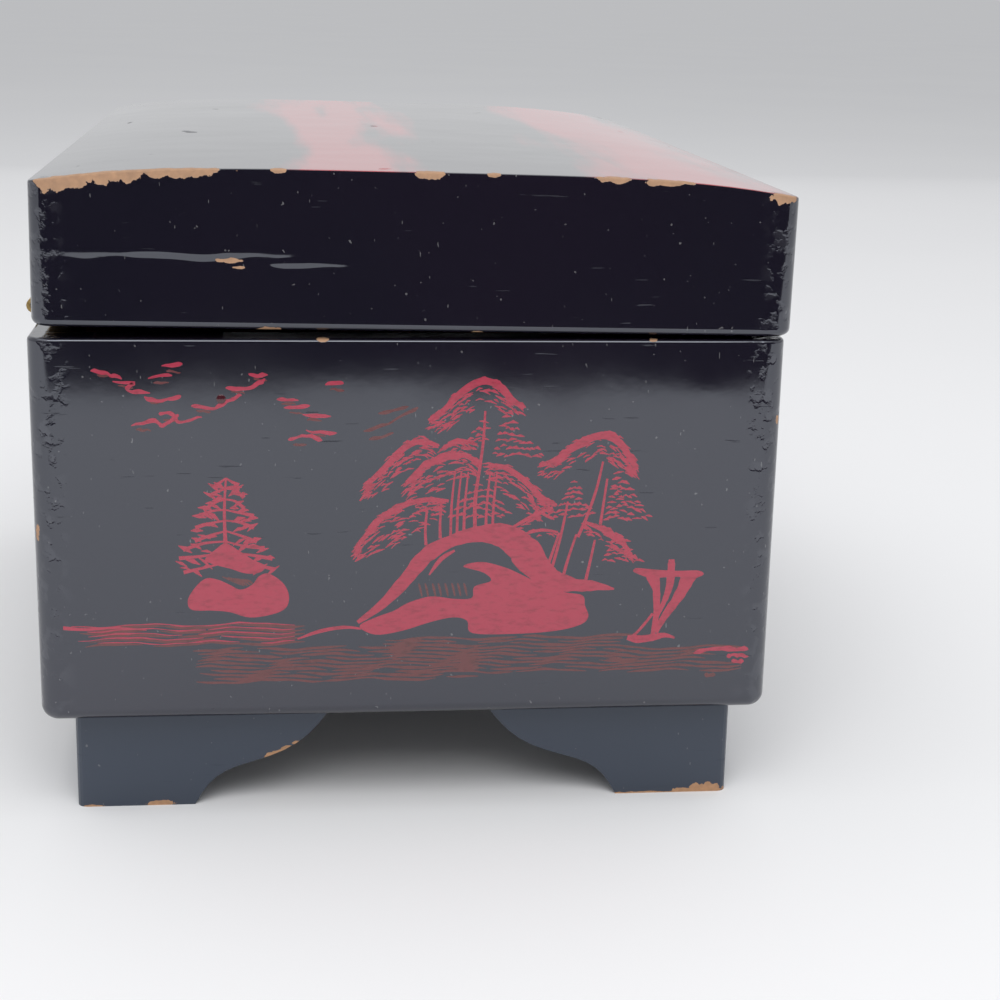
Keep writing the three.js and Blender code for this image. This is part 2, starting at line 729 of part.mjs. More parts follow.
function airBrakeFan() {
  const low = fanTop - fanHeight;
  const hub = rod('z', low, fanTop, 0, 0, 1.4, 12);
  const blades = box(-fanRadius, fanRadius, -0.3, 0.3, low + 0.2, fanTop);
  const bore = rod('z', low - 1, fanTop + 1, 0, 0, governorArborRadius + runningClear, 12);
  return cut(join(hub, blades), bore).translate(wormX, wormY, 0);
}

function movementParts() {
  const bed = cut(
    extrudeZ(roundedRectangle(bedLength, bedDepth, bedCorner), 0, bedThickness).translate(bedMiddleX, bedMiddleY, 0),
    rod('z', -1, bedThickness + 1, crownX, 0, windingArborRadius + 0.6),
  );
  const housing = cut(
    rod('z', bedThickness, springTop, crownX, 0, springRadius, 36),
    rod('z', bedThickness + springWall, springTop + 1, crownX, 0, springRadius - springWall, 36),
    rod('z', 0, springTop, crownX, 0, windingArborRadius + 0.6),
  );
  const cylinderPivot = { y: 0, radius: arborRadius };
  const governorPivot = { y: governorY, radius: governorArborRadius };
  const pinion = gearOutline(drumPinionTeeth, drumPinionRadius, 0.58, 0.75, -Math.PI / 2);
  const great = gearOutline(greatTeeth, greatPitchRadius, 0.36, 0.5, 0);
  const leaves = gearOutline(governorPinionTeeth, governorPinionRadius, 0.36, 0.5, Math.PI / governorPinionTeeth + Math.PI);
  const worm = gearOutline(wormTeeth, wormWheelRadius, 0.4, 0.55, 0, 0.36);
  const pinionX = crownX + crownPitchRadius - 0.75;
  const arborEnd = rightBearing + bearingThickness + pivotEnd;
  const governorEnd = wormX + cheekGap + cheekThickness + pivotEnd;
  const wormWheelX = wormX - wormWheelThickness / 2;
  return [
    piece('bedplate', bed, brass),
    piece('spring_housing', housing, steel),
    piece('mainspring', mainspring(), steel),
    piece('left_bearing', bearing(leftBearing, [cylinderPivot]), brass),
    piece('right_bearing', bearing(rightBearing, [cylinderPivot, governorPivot]), brass),
    piece('comb_block', combBlock(), brass),
    piece('comb', comb(), steel),
    piece('governor_frame', governorFrame(), brass),
    piece('winding_arbor', rod(
      'z', keyGround - floorTop + keyHeight * 0.45, axisHeight - drumPinionRadius - 0.72, crownX, 0, windingArborRadius,
    ), steel),
    piece('crown_wheel', crownWheel(), brass),
    piece('winding_key', windingKey(), steel),
    piece('cylinder_arbor', join(
      rod('x', pinionX - 0.8, arborEnd, 0, axisHeight, arborRadius),
      extrudeX(pinion, pinionX, pinionX + 1.5).translate(0, 0, axisHeight),
    ), steel),
    piece('pinned_cylinder', pinnedCylinder(), brass),
    piece('great_wheel', toothedWheel(great, greatStart, greatStart + greatThickness, 0, arborRadius + runningClear), brass),
    piece('governor_arbor', join(
      rod('x', greatStart - 0.6, governorEnd, governorY, axisHeight, governorArborRadius, 12),
      extrudeX(leaves, greatStart - 0.2, greatStart + greatThickness + 0.2).translate(0, governorY, axisHeight),
    ), steel),
    piece('worm_wheel', toothedWheel(
      worm, wormWheelX, wormWheelX + wormWheelThickness, governorY, governorArborRadius + runningClear,
    ), brass),
    piece('worm_shaft', wormShaft(), steel),
    piece('air_brake_fan', airBrakeFan(), plastic),
  ];
}

// Wire that the closed lid holds down, with a finger beside the fan, and its guide on the end wall
function stopParts() {
  const lidSlope = Math.tan(lidTilt) * (hingeAxisY - stopY);
  const top = bodyTop + lidGap - lidSlope - fitClear;
  const bend = 2.5;
  const corner = new THREE.Vector3(stopX, stopY, floorTop + fanTop - stopFingerDrop);
  const path = new THREE.CurvePath();
  const above = corner.clone().add(new THREE.Vector3(0, 0, bend));
  const beside = corner.clone().add(new THREE.Vector3(-bend, 0, 0));
  path.add(new THREE.LineCurve3(new THREE.Vector3(stopX, stopY, top), above));
  path.add(new THREE.QuadraticBezierCurve3(above, corner, beside));
  path.add(new THREE.LineCurve3(beside, corner.clone().add(new THREE.Vector3(-stopFinger, 0, 0))));
  const circle = new THREE.Shape();
  circle.absarc(0, 0, stopRadius, 0, 2 * Math.PI);
  const wire = new THREE.ExtrudeGeometry(circle, { steps: 40, extrudePath: path, curveSegments: 4, bevelEnabled: false });
  const low = coverHeight + stopGuideRise;
  const high = low + stopGuideHeight;
  const channel = stopRadius + 0.25;
  const guide = cut(
    box(stopX - 2.4, innerX, stopY - 2.6, stopY + 2.6, low, high),
    box(stopX - channel, innerX + 1, stopY - channel, stopY + channel, low - 1, high + 1),
  );
  return [piece('stop_wire', wire, steel), piece('stop_guide', guide, brass)];
}

function place(pieces, x = 0, y = 0, z = 0) {
  const group = new THREE.Group();
  group.add(...pieces);
  group.position.set(x, y, z);
  return group;
}

const hinges = hingeParts();
const lid = place([
  place(lidParts(), 0, -hingeAxisY - lidShift, lidGap / 2),
  ...hinges.lidSide,
], 0, hingeAxisY, hingeAxisZ);
lid.rotation.x = lidTilt;

const jewelryBox = new THREE.Group();
jewelryBox.add(
  place([...caseWalls(), ...bracketFeet(), ...caseInterior(), ...hinges.caseSide, ...stopParts()]),
  lid,
  place(trayParts(), (partitionLeft - innerX) / 2, 0, coverHeight + fitClear),
  place(movementParts(), movementX, movementY, floorTop),
);

// The origin is the middle of the underside of everything, hinge barrels included
jewelryBox.updateMatrixWorld(true);
const extent = new THREE.Box3().setFromObject(jewelryBox, true);
jewelryBox.position.y = -(extent.min.y + extent.max.y) / 2;

export default jewelryBox;
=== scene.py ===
"""Musical jewelry box in black lacquer: the finished look of every piece around the fixed frame."""
import json
import logging
import math
import random
from collections.abc import Callable
from dataclasses import dataclass, field
from enum import Enum

import bmesh
import bpy
from mathutils import Matrix, Vector


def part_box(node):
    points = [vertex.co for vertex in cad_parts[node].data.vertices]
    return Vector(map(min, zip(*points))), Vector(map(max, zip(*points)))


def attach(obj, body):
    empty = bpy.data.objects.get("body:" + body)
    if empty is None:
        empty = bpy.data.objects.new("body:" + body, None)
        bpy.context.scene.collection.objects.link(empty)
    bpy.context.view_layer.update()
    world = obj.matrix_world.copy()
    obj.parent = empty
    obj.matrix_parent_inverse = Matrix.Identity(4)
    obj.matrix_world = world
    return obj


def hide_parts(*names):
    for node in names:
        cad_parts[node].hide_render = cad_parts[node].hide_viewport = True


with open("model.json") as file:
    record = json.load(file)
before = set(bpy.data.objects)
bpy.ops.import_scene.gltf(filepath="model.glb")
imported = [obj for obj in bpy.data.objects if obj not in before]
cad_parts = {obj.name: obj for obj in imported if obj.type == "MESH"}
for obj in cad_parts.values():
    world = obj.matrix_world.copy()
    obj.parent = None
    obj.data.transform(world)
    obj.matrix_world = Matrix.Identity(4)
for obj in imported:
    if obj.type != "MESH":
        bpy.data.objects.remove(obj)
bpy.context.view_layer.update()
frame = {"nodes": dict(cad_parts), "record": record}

MM = 0.001
CLOSE = 1e-5
log = logging.getLogger("jewelry_box")

Place = tuple[float, float]
Colour = tuple[float, float, float]


class Slot(Enum):
    """Material slots of the record that pieces take their finish from."""

    LACQUER = "black_lacquer"
    SATIN = "satin_lacquer"
    WOOD = "bare_wood"
    VELVET = "red_velvet"
    BRASS = "brass"
    STEEL = "steel"
    COVER = "clear_cover"
    MIRROR = "mirror"
    FAN = "fan_plastic"


def node_box(name: str) -> tuple[Vector, Vector]:
    """Gives a CAD node's corners.

    Args:
        name: The node's name.

    Returns:
        Its lowest and highest corners, in metres.
    """
    low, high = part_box(name)
    return Vector(low), Vector(high)


def clear_selection() -> None:
    """Deselects every object, because operators act on all that is selected."""
    bpy.ops.object.select_all(action="DESELECT")


def make_active(piece: bpy.types.Object) -> None:
    """Selects one piece alone and makes it active."""
    clear_selection()
    piece.select_set(True)
    bpy.context.view_layer.objects.active = piece


def settle(piece: bpy.types.Object, name: str) -> bpy.types.Object:
    """Names a piece and moves its place into its mesh.

    Args:
        piece: The object to finish.
        name: Its name.

    Returns:
        The same object, at the origin and unturned.
    """
    piece.name = name
    piece.data.name = name
    make_active(piece)
    bpy.ops.object.transform_apply(location=True, rotation=True, scale=True)
    return piece


def apply_modifier(piece: bpy.types.Object, kind: str, **settings: object) -> None:
    """Adds a modifier with settings and applies it.

    Args:
        piece: The object to change.
        kind: The modifier's type.
        settings: Its properties by name.
    """
    make_active(piece)
    modifier = piece.modifiers.new(kind.title(), kind)
    for key, value in settings.items():
        setattr(modifier, key, value)
    bpy.ops.object.modifier_apply(modifier=modifier.name)


def cut_away(piece: bpy.types.Object, cutter: bpy.types.Object) -> None:
    """Cuts one closed piece out of another and removes the cutter.

    Args:
        piece: The piece that keeps its rest.
        cutter: The shape that is taken out.
    """
    apply_modifier(piece, "BOOLEAN", object=cutter, operation="DIFFERENCE", solver="EXACT")
    bpy.data.objects.remove(cutter)


def block(low: Vector, high: Vector, name: str) -> bpy.types.Object:
    """Adds a box between two corners, with its place in its mesh.

    Args:
        low: The lowest corner.
        high: The highest corner.
        name: The piece's name.

    Returns:
        The new box.
    """
    clear_selection()
    bpy.ops.mesh.primitive_cube_add(size=1, location=(low + high) / 2)
    piece = bpy.context.object
    piece.scale = high - low
    return settle(piece, name)


def pick(
    piece: bpy.types.Object,
    faces: Callable[[bmesh.types.BMFace], bool] | None = None,
    edges: Callable[[bmesh.types.BMEdge], bool] | None = None,
) -> None:
    """Enters edit mode with only some faces or edges selected.

    Args:
        piece: The object to edit.
        faces: A test on a face, or None.
        edges: A test on an edge, or None.
    """
    make_active(piece)
    bpy.ops.object.mode_set(mode="EDIT")
    bpy.ops.mesh.select_mode(type="FACE" if faces else "EDGE")
    bpy.ops.mesh.select_all(action="DESELECT")
    work = bmesh.from_edit_mesh(piece.data)
    for face in work.faces if faces else ():
        face.select_set(bool(faces(face)))
    for edge in work.edges if edges else ():
        edge.select_set(bool(edges(edge)))
    work.select_flush_mode()
    bmesh.update_edit_mesh(piece.data)


def leave_edit() -> None:
    """Returns to object mode."""
    bpy.ops.object.mode_set(mode="OBJECT")


def bevel_edges(
    piece: bpy.types.Object, edges: Callable[[bmesh.types.BMEdge], bool], radius: float, segments: int
) -> None:
    """Rounds the edges that pass a test.

    Args:
        piece: The object to edit.
        edges: The test.
        radius: The rounding's radius, in metres.
        segments: How many faces make the rounding.
    """
    pick(piece, edges=edges)
    bpy.ops.mesh.bevel(offset=radius, segments=segments, affect="EDGES", clamp_overlap=True)
    leave_edit()


def move_points(piece: bpy.types.Object, where: Callable[[Vector], Vector]) -> None:
    """Moves every point of a mesh to where a function puts it.

    Args:
        piece: The object to change.
        where: Gives a point's new place from its old one.
    """
    for vertex in piece.data.vertices:
        vertex.co = where(vertex.co.copy())
    piece.data.update()


def smooth(piece: bpy.types.Object, degrees: float = 35) -> None:
    """Shades a piece smooth up to an angle."""
    make_active(piece)
    bpy.ops.object.shade_smooth_by_angle(angle=math.radians(degrees))


def polish(piece: bpy.types.Object, degrees: float = 35) -> None:
    """Shades a piece smooth up to an angle and keeps its large faces truly flat."""
    smooth(piece, degrees)
    apply_modifier(piece, "WEIGHTED_NORMAL", keep_sharp=True, weight=100)


def mesh_piece(name: str, points: list, faces: list) -> bpy.types.Object:
    """Makes a piece from points and faces.

    Args:
        name: Its name.
        points: Its points, in metres.
        faces: Lists of point numbers, each counter-clockwise from outside.

    Returns:
        The new piece.
    """
    mesh = bpy.data.meshes.new(name)
    mesh.from_pydata(points, [], faces)
    piece = bpy.data.objects.new(name, mesh)
    bpy.context.scene.collection.objects.link(piece)
    return piece


def loft(name: str, rings: list[list[Vector]], closed: bool) -> bpy.types.Object:
    """Joins rings of points into one closed soft form.

    Args:
        name: The piece's name.
        rings: Rings of equal length.
        closed: Whether the last ring joins the first; otherwise both ends are capped.

    Returns:
        The new piece, shaded smooth.
    """
    around = len(rings[0])
    points = [tuple(point) for ring in rings for point in ring]
    faces = []
    for r in range(len(rings) if closed else len(rings) - 1):
        here, there = r * around, (r + 1) % len(rings) * around
        for i in range(around):
            j = (i + 1) % around
            faces.append([here + i, here + j, there + j, there + i])
    if not closed:
        faces.append(list(range(around))[::-1])
        faces.append([(len(rings) - 1) * around + i for i in range(around)])
    piece = mesh_piece(name, points, faces)
    make_active(piece)
    bpy.ops.object.mode_set(mode="EDIT")
    bpy.ops.mesh.select_all(action="SELECT")
    bpy.ops.mesh.normals_make_consistent(inside=False)
    leave_edit()
    smooth(piece, 60)
    return piece


def finish_piece(
    piece: bpy.types.Object, material: bpy.types.Material, slot: Slot, body: str, *nodes: str
) -> bpy.types.Object:
    """Dresses a piece and hangs it on its body.

    Args:
        piece: The finished mesh object.
        material: Its material.
        slot: The record's slot that it takes its finish from; not used.
        body: The body that it rides on.
        nodes: The CAD nodes that it stands for.

    Returns:
        The same object.
    """
    piece.data.materials.clear()
    piece.data.materials.append(material)
    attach(piece, body)
    if nodes:
        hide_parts(*nodes)
    log.info("%s rides on %s", piece.name, body)
    return piece


# Shader groups that more than one finish uses


def new_group(
    name: str, inputs: dict[str, tuple[str, object]], outputs: dict[str, str]
) -> bpy.types.NodeTree:
    """Makes an empty shader node group with named sockets.

    Args:
        name: The group's name.
        inputs: Socket name to its type and default value.
        outputs: Socket name to its type.

    Returns:
        The node tree, with its input and output nodes.
    """
    tree = bpy.data.node_groups.new(name, "ShaderNodeTree")
    for label, (kind, value) in inputs.items():
        socket = tree.interface.new_socket(label, in_out="INPUT", socket_type=kind)
        socket.default_value = value
    for label, kind in outputs.items():
        tree.interface.new_socket(label, in_out="OUTPUT", socket_type=kind)
    tree.nodes.new("NodeGroupInput").name = "in"
    tree.nodes.new("NodeGroupOutput").name = "out"
    return tree


def math_node(
    tree: bpy.types.NodeTree, operation: str, first: object, second: object = 0.0, third: object = 0.0
) -> bpy.types.NodeSocket:
    """Adds a Math node.

    Args:
        tree: The node tree.
        operation: The operation's name.
        first: A socket or a number.
        second: A socket or a number.
        third: A socket or a number, for the operations that take three.

    Returns:
        The result's socket.
    """
    node = tree.nodes.new("ShaderNodeMath")
    node.operation = operation
    for index, value in enumerate((first, second, third)):
        if isinstance(value, bpy.types.NodeSocket):
            tree.links.new(value, node.inputs[index])
        else:
            node.inputs[index].default_value = value
    return node.outputs[0]


def noise_node(
    tree: bpy.types.NodeTree, coordinate: bpy.types.NodeSocket, scale: float, detail: float = 4
) -> bpy.types.NodeSocket:
    """Adds a Noise texture.

    Args:
        tree: The node tree.
        coordinate: The place's socket.
        scale: The noise's scale per metre.
        detail: Its detail.

    Returns:
        Its value's socket.
    """
    node = tree.nodes.new("ShaderNodeTexNoise")
    node.inputs["Scale"].default_value = scale
    node.inputs["Detail"].default_value = detail
    tree.links.new(coordinate, node.inputs["Vector"])
    return node.outputs["Fac"]


def ramp_node(
    tree: bpy.types.NodeTree, value: bpy.types.NodeSocket, low: float, high: float
) -> bpy.types.NodeSocket:
    """Adds a smooth step.

    Args:
        tree: The node tree.
        value: The value's socket.
        low: The value that gives 0.
        high: The value that gives 1.

    Returns:
        The step's socket.
    """
    node = tree.nodes.new("ShaderNodeMapRange")
    node.interpolation_type = "SMOOTHSTEP"
    node.inputs["From Min"].default_value = low
    node.inputs["From Max"].default_value = high
    tree.links.new(value, node.inputs["Value"])
    return node.outputs["Result"]


def stretch_node(
    tree: bpy.types.NodeTree, place: bpy.types.NodeSocket, scale: Colour, turn: Colour = (0, 0, 0)
) -> bpy.types.NodeSocket:
    """Adds a Mapping node that stretches a pattern.

    Args:
        tree: The node tree.
        place: The place's socket.
        scale: The scale along each axis.
        turn: The rotation about each axis.

    Returns:
        The stretched place's socket.
    """
    node = tree.nodes.new("ShaderNodeMapping")
    node.inputs["Scale"].default_value = scale
    node.inputs["Rotation"].default_value = turn
    tree.links.new(place, node.inputs["Vector"])
    return node.outputs[0]


def chip_group() -> bpy.types.NodeTree:
    """Makes the group that masks one ragged chip, or one soft swelling, around a point.

    Returns:
        The group: its mask is 1 inside the chip, and its swell rises smoothly to 1 at the middle.
    """
    tree = new_group(
        "chip",
        {
            "Place": ("NodeSocketVector", (0, 0, 0)),
            "Centre": ("NodeSocketVector", (0, 0, 0)),
            "Inverse reach": ("NodeSocketVector", (1, 1, 1)),
            "Before": ("NodeSocketFloat", 0.0),
        },
        {"Mask": "NodeSocketFloat", "Swell": "NodeSocketFloat"},
    )
    source, sink = tree.nodes["in"], tree.nodes["out"]
    place = source.outputs["Place"]
    vectors = []
    for operation in ("SUBTRACT", "MULTIPLY", "LENGTH"):
        node = tree.nodes.new("ShaderNodeVectorMath")
        node.operation = operation
        vectors.append(node)
    offset, scaled, length = vectors
    tree.links.new(place, offset.inputs[0])
    tree.links.new(source.outputs["Centre"], offset.inputs[1])
    tree.links.new(offset.outputs[0], scaled.inputs[0])
    tree.links.new(source.outputs["Inverse reach"], scaled.inputs[1])
    tree.links.new(scaled.outputs[0], length.inputs[0])
    torn = math_node(tree, "MULTIPLY_ADD", noise_node(tree, place, 520, 3), 1.7, -0.85)
    inside = ramp_node(tree, math_node(tree, "ADD", length.outputs["Value"], torn), 1.04, 0.96)
    total = math_node(tree, "MAXIMUM", inside, source.outputs["Before"])
    tree.links.new(total, sink.inputs["Mask"])
    sway = math_node(tree, "MULTIPLY_ADD", noise_node(tree, place, 70, 1), 2.0, -1.0)
    rounded = ramp_node(tree, math_node(tree, "ADD", length.outputs["Value"], sway), 1.0, 0.0)
    tree.links.new(math_node(tree, "MAXIMUM", rounded, source.outputs["Before"]), sink.inputs["Swell"])
    return tree


def surface_group() -> bpy.types.NodeTree:
    """Makes the group of hairlines, brush marks, dust and slow waves of a hand-lacquered surface.

    Returns:
        The group, with a height, a speck mask and a roughness change.
    """
    tree = new_group(
        "lacquer_surface",
        {"Place": ("NodeSocketVector", (0, 0, 0))},
        {"Height": "NodeSocketFloat", "Specks": "NodeSocketFloat", "Haze": "NodeSocketFloat"},
    )
    source, sink = tree.nodes["in"], tree.nodes["out"]
    place = source.outputs["Place"]
    waves = noise_node(tree, place, 24, 2)
    peel = noise_node(tree, place, 420, 2)
    brushed = noise_node(tree, stretch_node(tree, place, (500, 500, 60)), 1, 3)
    height = math_node(tree, "MULTIPLY_ADD", peel, 0.014, waves)
    height = math_node(tree, "MULTIPLY_ADD", brushed, 0.012, height)
    hair = noise_node(tree, stretch_node(tree, place, (60, 90, 1400), (0.5, 0.1, 0.2)), 1, 2)
    scratches = ramp_node(tree, hair, 0.71, 0.76)
    height = math_node(tree, "MULTIPLY_ADD", scratches, -0.02, height)
    tree.links.new(height, sink.inputs["Height"])
    grit = noise_node(tree, place, 900, 1)
    strays = noise_node(tree, stretch_node(tree, place, (900, 1500, 420), (0.9, 0.3, 0.4)), 1, 1)
    specks = math_node(tree, "MAXIMUM", ramp_node(tree, grit, 0.77, 0.8), ramp_node(tree, strays, 0.785, 0.8))
    tree.links.new(specks, sink.inputs["Specks"])
    dulled = math_node(tree, "MULTIPLY", scratches, 0.25)
    haze = math_node(tree, "MULTIPLY_ADD", noise_node(tree, place, 40, 5), 0.12, dulled)
    tree.links.new(haze, sink.inputs["Haze"])
    return tree


CHIP = chip_group()
SURFACE = surface_group()


@dataclass(frozen=True)
class Chip:
    """One place where the lacquer has come off: its middle and its reach, in millimetres."""

    centre: Colour
    reach: Colour


class MaterialDraft:
    """A material being built: its tree, its main shader and its object coordinates."""

    def __init__(self, name: str) -> None:
        """Starts a material with one Principled shader."""
        self.material = bpy.data.materials.new(name)
        self.material.use_nodes = True
        self.tree = self.material.node_tree
        self.shader = self.tree.nodes["Principled BSDF"]
        coordinates = self.tree.nodes.new("ShaderNodeTexCoord")
        self.place = coordinates.outputs["Object"]
        self.facing = coordinates.outputs["Normal"]

    def plain(self, **values: object) -> None:
        """Sets constant values on the shader's own sockets."""
        for label, value in values.items():
            self.shader.inputs[label.replace("_", " ")].default_value = value

    def group(self, tree: bpy.types.NodeTree) -> bpy.types.ShaderNode:
        """Places a shared group, fed with the object coordinates."""
        node = self.tree.nodes.new("ShaderNodeGroup")
        node.node_tree = tree
        self.tree.links.new(self.place, node.inputs["Place"])
        return node

    def axis(self, vector: bpy.types.NodeSocket, name: str) -> bpy.types.NodeSocket:
        """Takes one coordinate out of a vector."""
        node = self.tree.nodes.new("ShaderNodeSeparateXYZ")
        self.tree.links.new(vector, node.inputs[0])
        return node.outputs[name]

    def mix(self, mask: bpy.types.NodeSocket, first: object, second: object) -> bpy.types.NodeSocket:
        """Mixes two colours by a mask.

        Args:
            mask: The mask's socket.
            first: The colour at 0: a socket or three numbers.
            second: The colour at 1: a socket or three numbers.

        Returns:
            The mixed colour's socket.
        """
        node = self.tree.nodes.new("ShaderNodeMix")
        node.data_type = "RGBA"
        self.tree.links.new(mask, node.inputs["Factor"])
        for index, value in ((6, first), (7, second)):
            if isinstance(value, bpy.types.NodeSocket):
                self.tree.links.new(value, node.inputs[index])
            else:
                node.inputs[index].default_value = (*value, 1)
        return node.outputs[2]

    def colour(self, socket: bpy.types.NodeSocket) -> None:
        """Links a colour to the shader's base colour."""
        self.tree.links.new(socket, self.shader.inputs["Base Color"])

    def roughness(self, socket: bpy.types.NodeSocket) -> None:
        """Links a value to the shader's roughness."""
        self.tree.links.new(socket, self.shader.inputs["Roughness"])

    def bump(self, height: bpy.types.NodeSocket, strength: float, distance: float) -> None:
        """Turns a height into the shader's normal.

        Args:
            height: The height's socket, 0 to 1.
            strength: The bump's strength.
            distance: The height of 1, in metres.
        """
        node = self.tree.nodes.new("ShaderNodeBump")
        node.inputs["Strength"].default_value = strength
        node.inputs["Distance"].default_value = distance
        self.tree.links.new(height, node.inputs["Height"])
        self.tree.links.new(node.outputs["Normal"], self.shader.inputs["Normal"])


@dataclass(frozen=True)
class Lacquer:
    """Glossy lacquer over wood, with chips, specks, hairlines, pitted corners and slow waves."""

    name: str
    colour: Colour = (0.005, 0.006, 0.011)
    second: Colour = (0.011, 0.006, 0.014)
    wood: Colour = (0.55, 0.3, 0.15)
    dust: Colour = (0.3, 0.3, 0.3)
    roughness: float = 0.07
    waves: float = 0.3
    index: float = 1.93
    sheen: Colour = (0.86, 0.91, 1.0)
    chips: tuple[Chip, ...] = ()
    ridges: tuple[Chip, ...] = ()
    corner: tuple[float, float, float] | None = None
    red_bands: tuple[tuple[float, float], ...] = ()
    red: Colour = (0.4, 0.014, 0.022)

    def build(self) -> bpy.types.Material:
        """Makes the material.

        Returns:
            The lacquer, with its chips masked in object space.
        """
        draft = MaterialDraft(self.name)
        tree = draft.tree
        surface = draft.group(SURFACE)
        shade = draft.mix(noise_node(tree, draft.place, 9, 3), self.colour, self.second)
        if self.red_bands:
            shade = draft.mix(self.band_mask(draft), shade, self.red)
        height = surface.outputs["Height"]
        if self.corner:
            worn = self.corner_mask(draft)
            shade = draft.mix(math_node(tree, "MULTIPLY", worn, 0.4), shade, (0.05, 0.05, 0.06))
            height = math_node(tree, "MULTIPLY_ADD", worn, -0.3, height)
        if self.ridges:
            height = math_node(tree, "MULTIPLY_ADD", self.mask_of(draft, self.ridges, "Swell"), 1.2, height)
        specks = math_node(tree, "MULTIPLY", surface.outputs["Specks"], 0.35)
        shade = draft.mix(specks, shade, self.dust)
        rough = math_node(tree, "ADD", surface.outputs["Haze"], self.roughness - 0.06)
        if self.chips:
            mask = self.mask_of(draft, self.chips, "Mask")
            grain = noise_node(tree, draft.place, 700, 4)
            shade = draft.mix(mask, shade, draft.mix(grain, self.wood, tuple(v * 0.5 for v in self.wood)))
            rough = math_node(tree, "MAXIMUM", rough, math_node(tree, "MULTIPLY", mask, 0.75))
            height = math_node(tree, "MULTIPLY_ADD", mask, -0.5, height)
        draft.colour(shade)
        draft.roughness(rough)
        draft.bump(height, self.waves, 0.0006)
        draft.plain(IOR=self.index, Specular_Tint=(*self.sheen, 1))
        return draft.material

    def mask_of(self, draft: MaterialDraft, marks: tuple[Chip, ...], output: str) -> bpy.types.NodeSocket:
        """Gathers chips or ridges into one mask.

        Args:
            draft: The material being built.
            marks: Their places.
            output: The chip group's output that is gathered.

        Returns:
            The mask's socket.
        """
        mask = None
        for mark in marks:
            node = draft.group(CHIP)
            node.inputs["Centre"].default_value = [value * MM for value in mark.centre]
            node.inputs["Inverse reach"].default_value = [1 / (value * MM) for value in mark.reach]
            if mask:
                draft.tree.links.new(mask, node.inputs["Before"])
            mask = node.outputs[output]
        return mask

    def corner_mask(self, draft: MaterialDraft) -> bpy.types.NodeSocket:
        """Masks the pitted lacquer along the upright corners.

        Args:
            draft: The material being built.

        Returns:
            The mask's socket.
        """
        tree = draft.tree
        half_length, half_depth, middle = (value * MM for value in self.corner)
        side = math_node(tree, "ABSOLUTE", draft.axis(draft.place, "X"))
        end = math_node(tree, "ABSOLUTE", math_node(tree, "SUBTRACT", draft.axis(draft.place, "Y"), middle))
        from_end = math_node(tree, "SUBTRACT", half_length, side)
        from_side = math_node(tree, "SUBTRACT", half_depth, end)
        away = math_node(tree, "MAXIMUM", from_end, from_side)
        near = ramp_node(tree, away, 0.009, 0.003)
        pits = ramp_node(tree, noise_node(tree, draft.place, 330, 5), 0.5, 0.62)
        return math_node(tree, "MULTIPLY", near, pits)

    def band_mask(self, draft: MaterialDraft) -> bpy.types.NodeSocket:
        """Masks the red bands, feathered by the brush, that run along the top of the lid.

        Args:
            draft: The material being built.

        Returns:
            The mask's socket.
        """
        tree = draft.tree
        total = None
        wisps = noise_node(tree, stretch_node(tree, draft.place, (9, 90, 90)), 1, 5)
        drift = math_node(tree, "MULTIPLY_ADD", wisps, 0.05, -0.025)
        across = math_node(tree, "ADD", draft.axis(draft.place, "Y"), drift)
        for middle, reach in self.red_bands:
            away = math_node(tree, "ABSOLUTE", math_node(tree, "SUBTRACT", across, middle * MM))
            band = ramp_node(tree, away, reach * MM, reach * 0.3 * MM)
            total = math_node(tree, "MAXIMUM", band, total) if total else band
        top = ramp_node(tree, draft.axis(draft.facing, "Z"), 0.6, 0.9)
        return math_node(tree, "MULTIPLY", total, top)


@dataclass(frozen=True)
class Paint:
    """Thin paint laid by brush over the lacquer."""

    name: str
    colour: Colour
    roughness: float = 0.2

    def build(self) -> bpy.types.Material:
        """Makes the paint, thinner and darker in places."""
        draft = MaterialDraft(self.name)
        hairs = stretch_node(draft.tree, draft.place, (300, 500, 1500))
        worn = ramp_node(draft.tree, noise_node(draft.tree, hairs, 1, 5), 0.45, 0.8)
        draft.colour(draft.mix(worn, self.colour, tuple(v * 0.66 for v in self.colour)))
        draft.bump(noise_node(draft.tree, hairs, 1.5, 3), 0.15, 0.0002)
        draft.plain(Roughness=self.roughness, Coat_Weight=0.8, Coat_Roughness=0.08)
        return draft.material


@dataclass(frozen=True)
class Cloth:
    """Short pile velvet."""

    name: str
    colour: Colour = (0.19, 0.008, 0.016)

    def build(self) -> bpy.types.Material:
        """Makes the velvet with its nap and lint."""
        draft = MaterialDraft(self.name)
        nap = noise_node(draft.tree, draft.place, 2600, 3)
        lay = noise_node(draft.tree, draft.place, 45, 3)
        shade = math_node(draft.tree, "MULTIPLY", nap, lay)
        dark = tuple(v * 0.5 for v in self.colour)
        velvet = draft.mix(ramp_node(draft.tree, shade, 0.12, 0.42), dark, self.colour)
        lint = ramp_node(draft.tree, noise_node(draft.tree, draft.place, 1100, 1), 0.79, 0.81)
        draft.colour(draft.mix(lint, velvet, tuple(min(1.0, v * 2 + 0.1) for v in self.colour)))
        draft.bump(nap, 0.5, 0.0004)
        draft.plain(Roughness=0.95, Sheen_Weight=0.7, Sheen_Roughness=0.4, Sheen_Tint=(0.9, 0.25, 0.3, 1))
        return draft.material


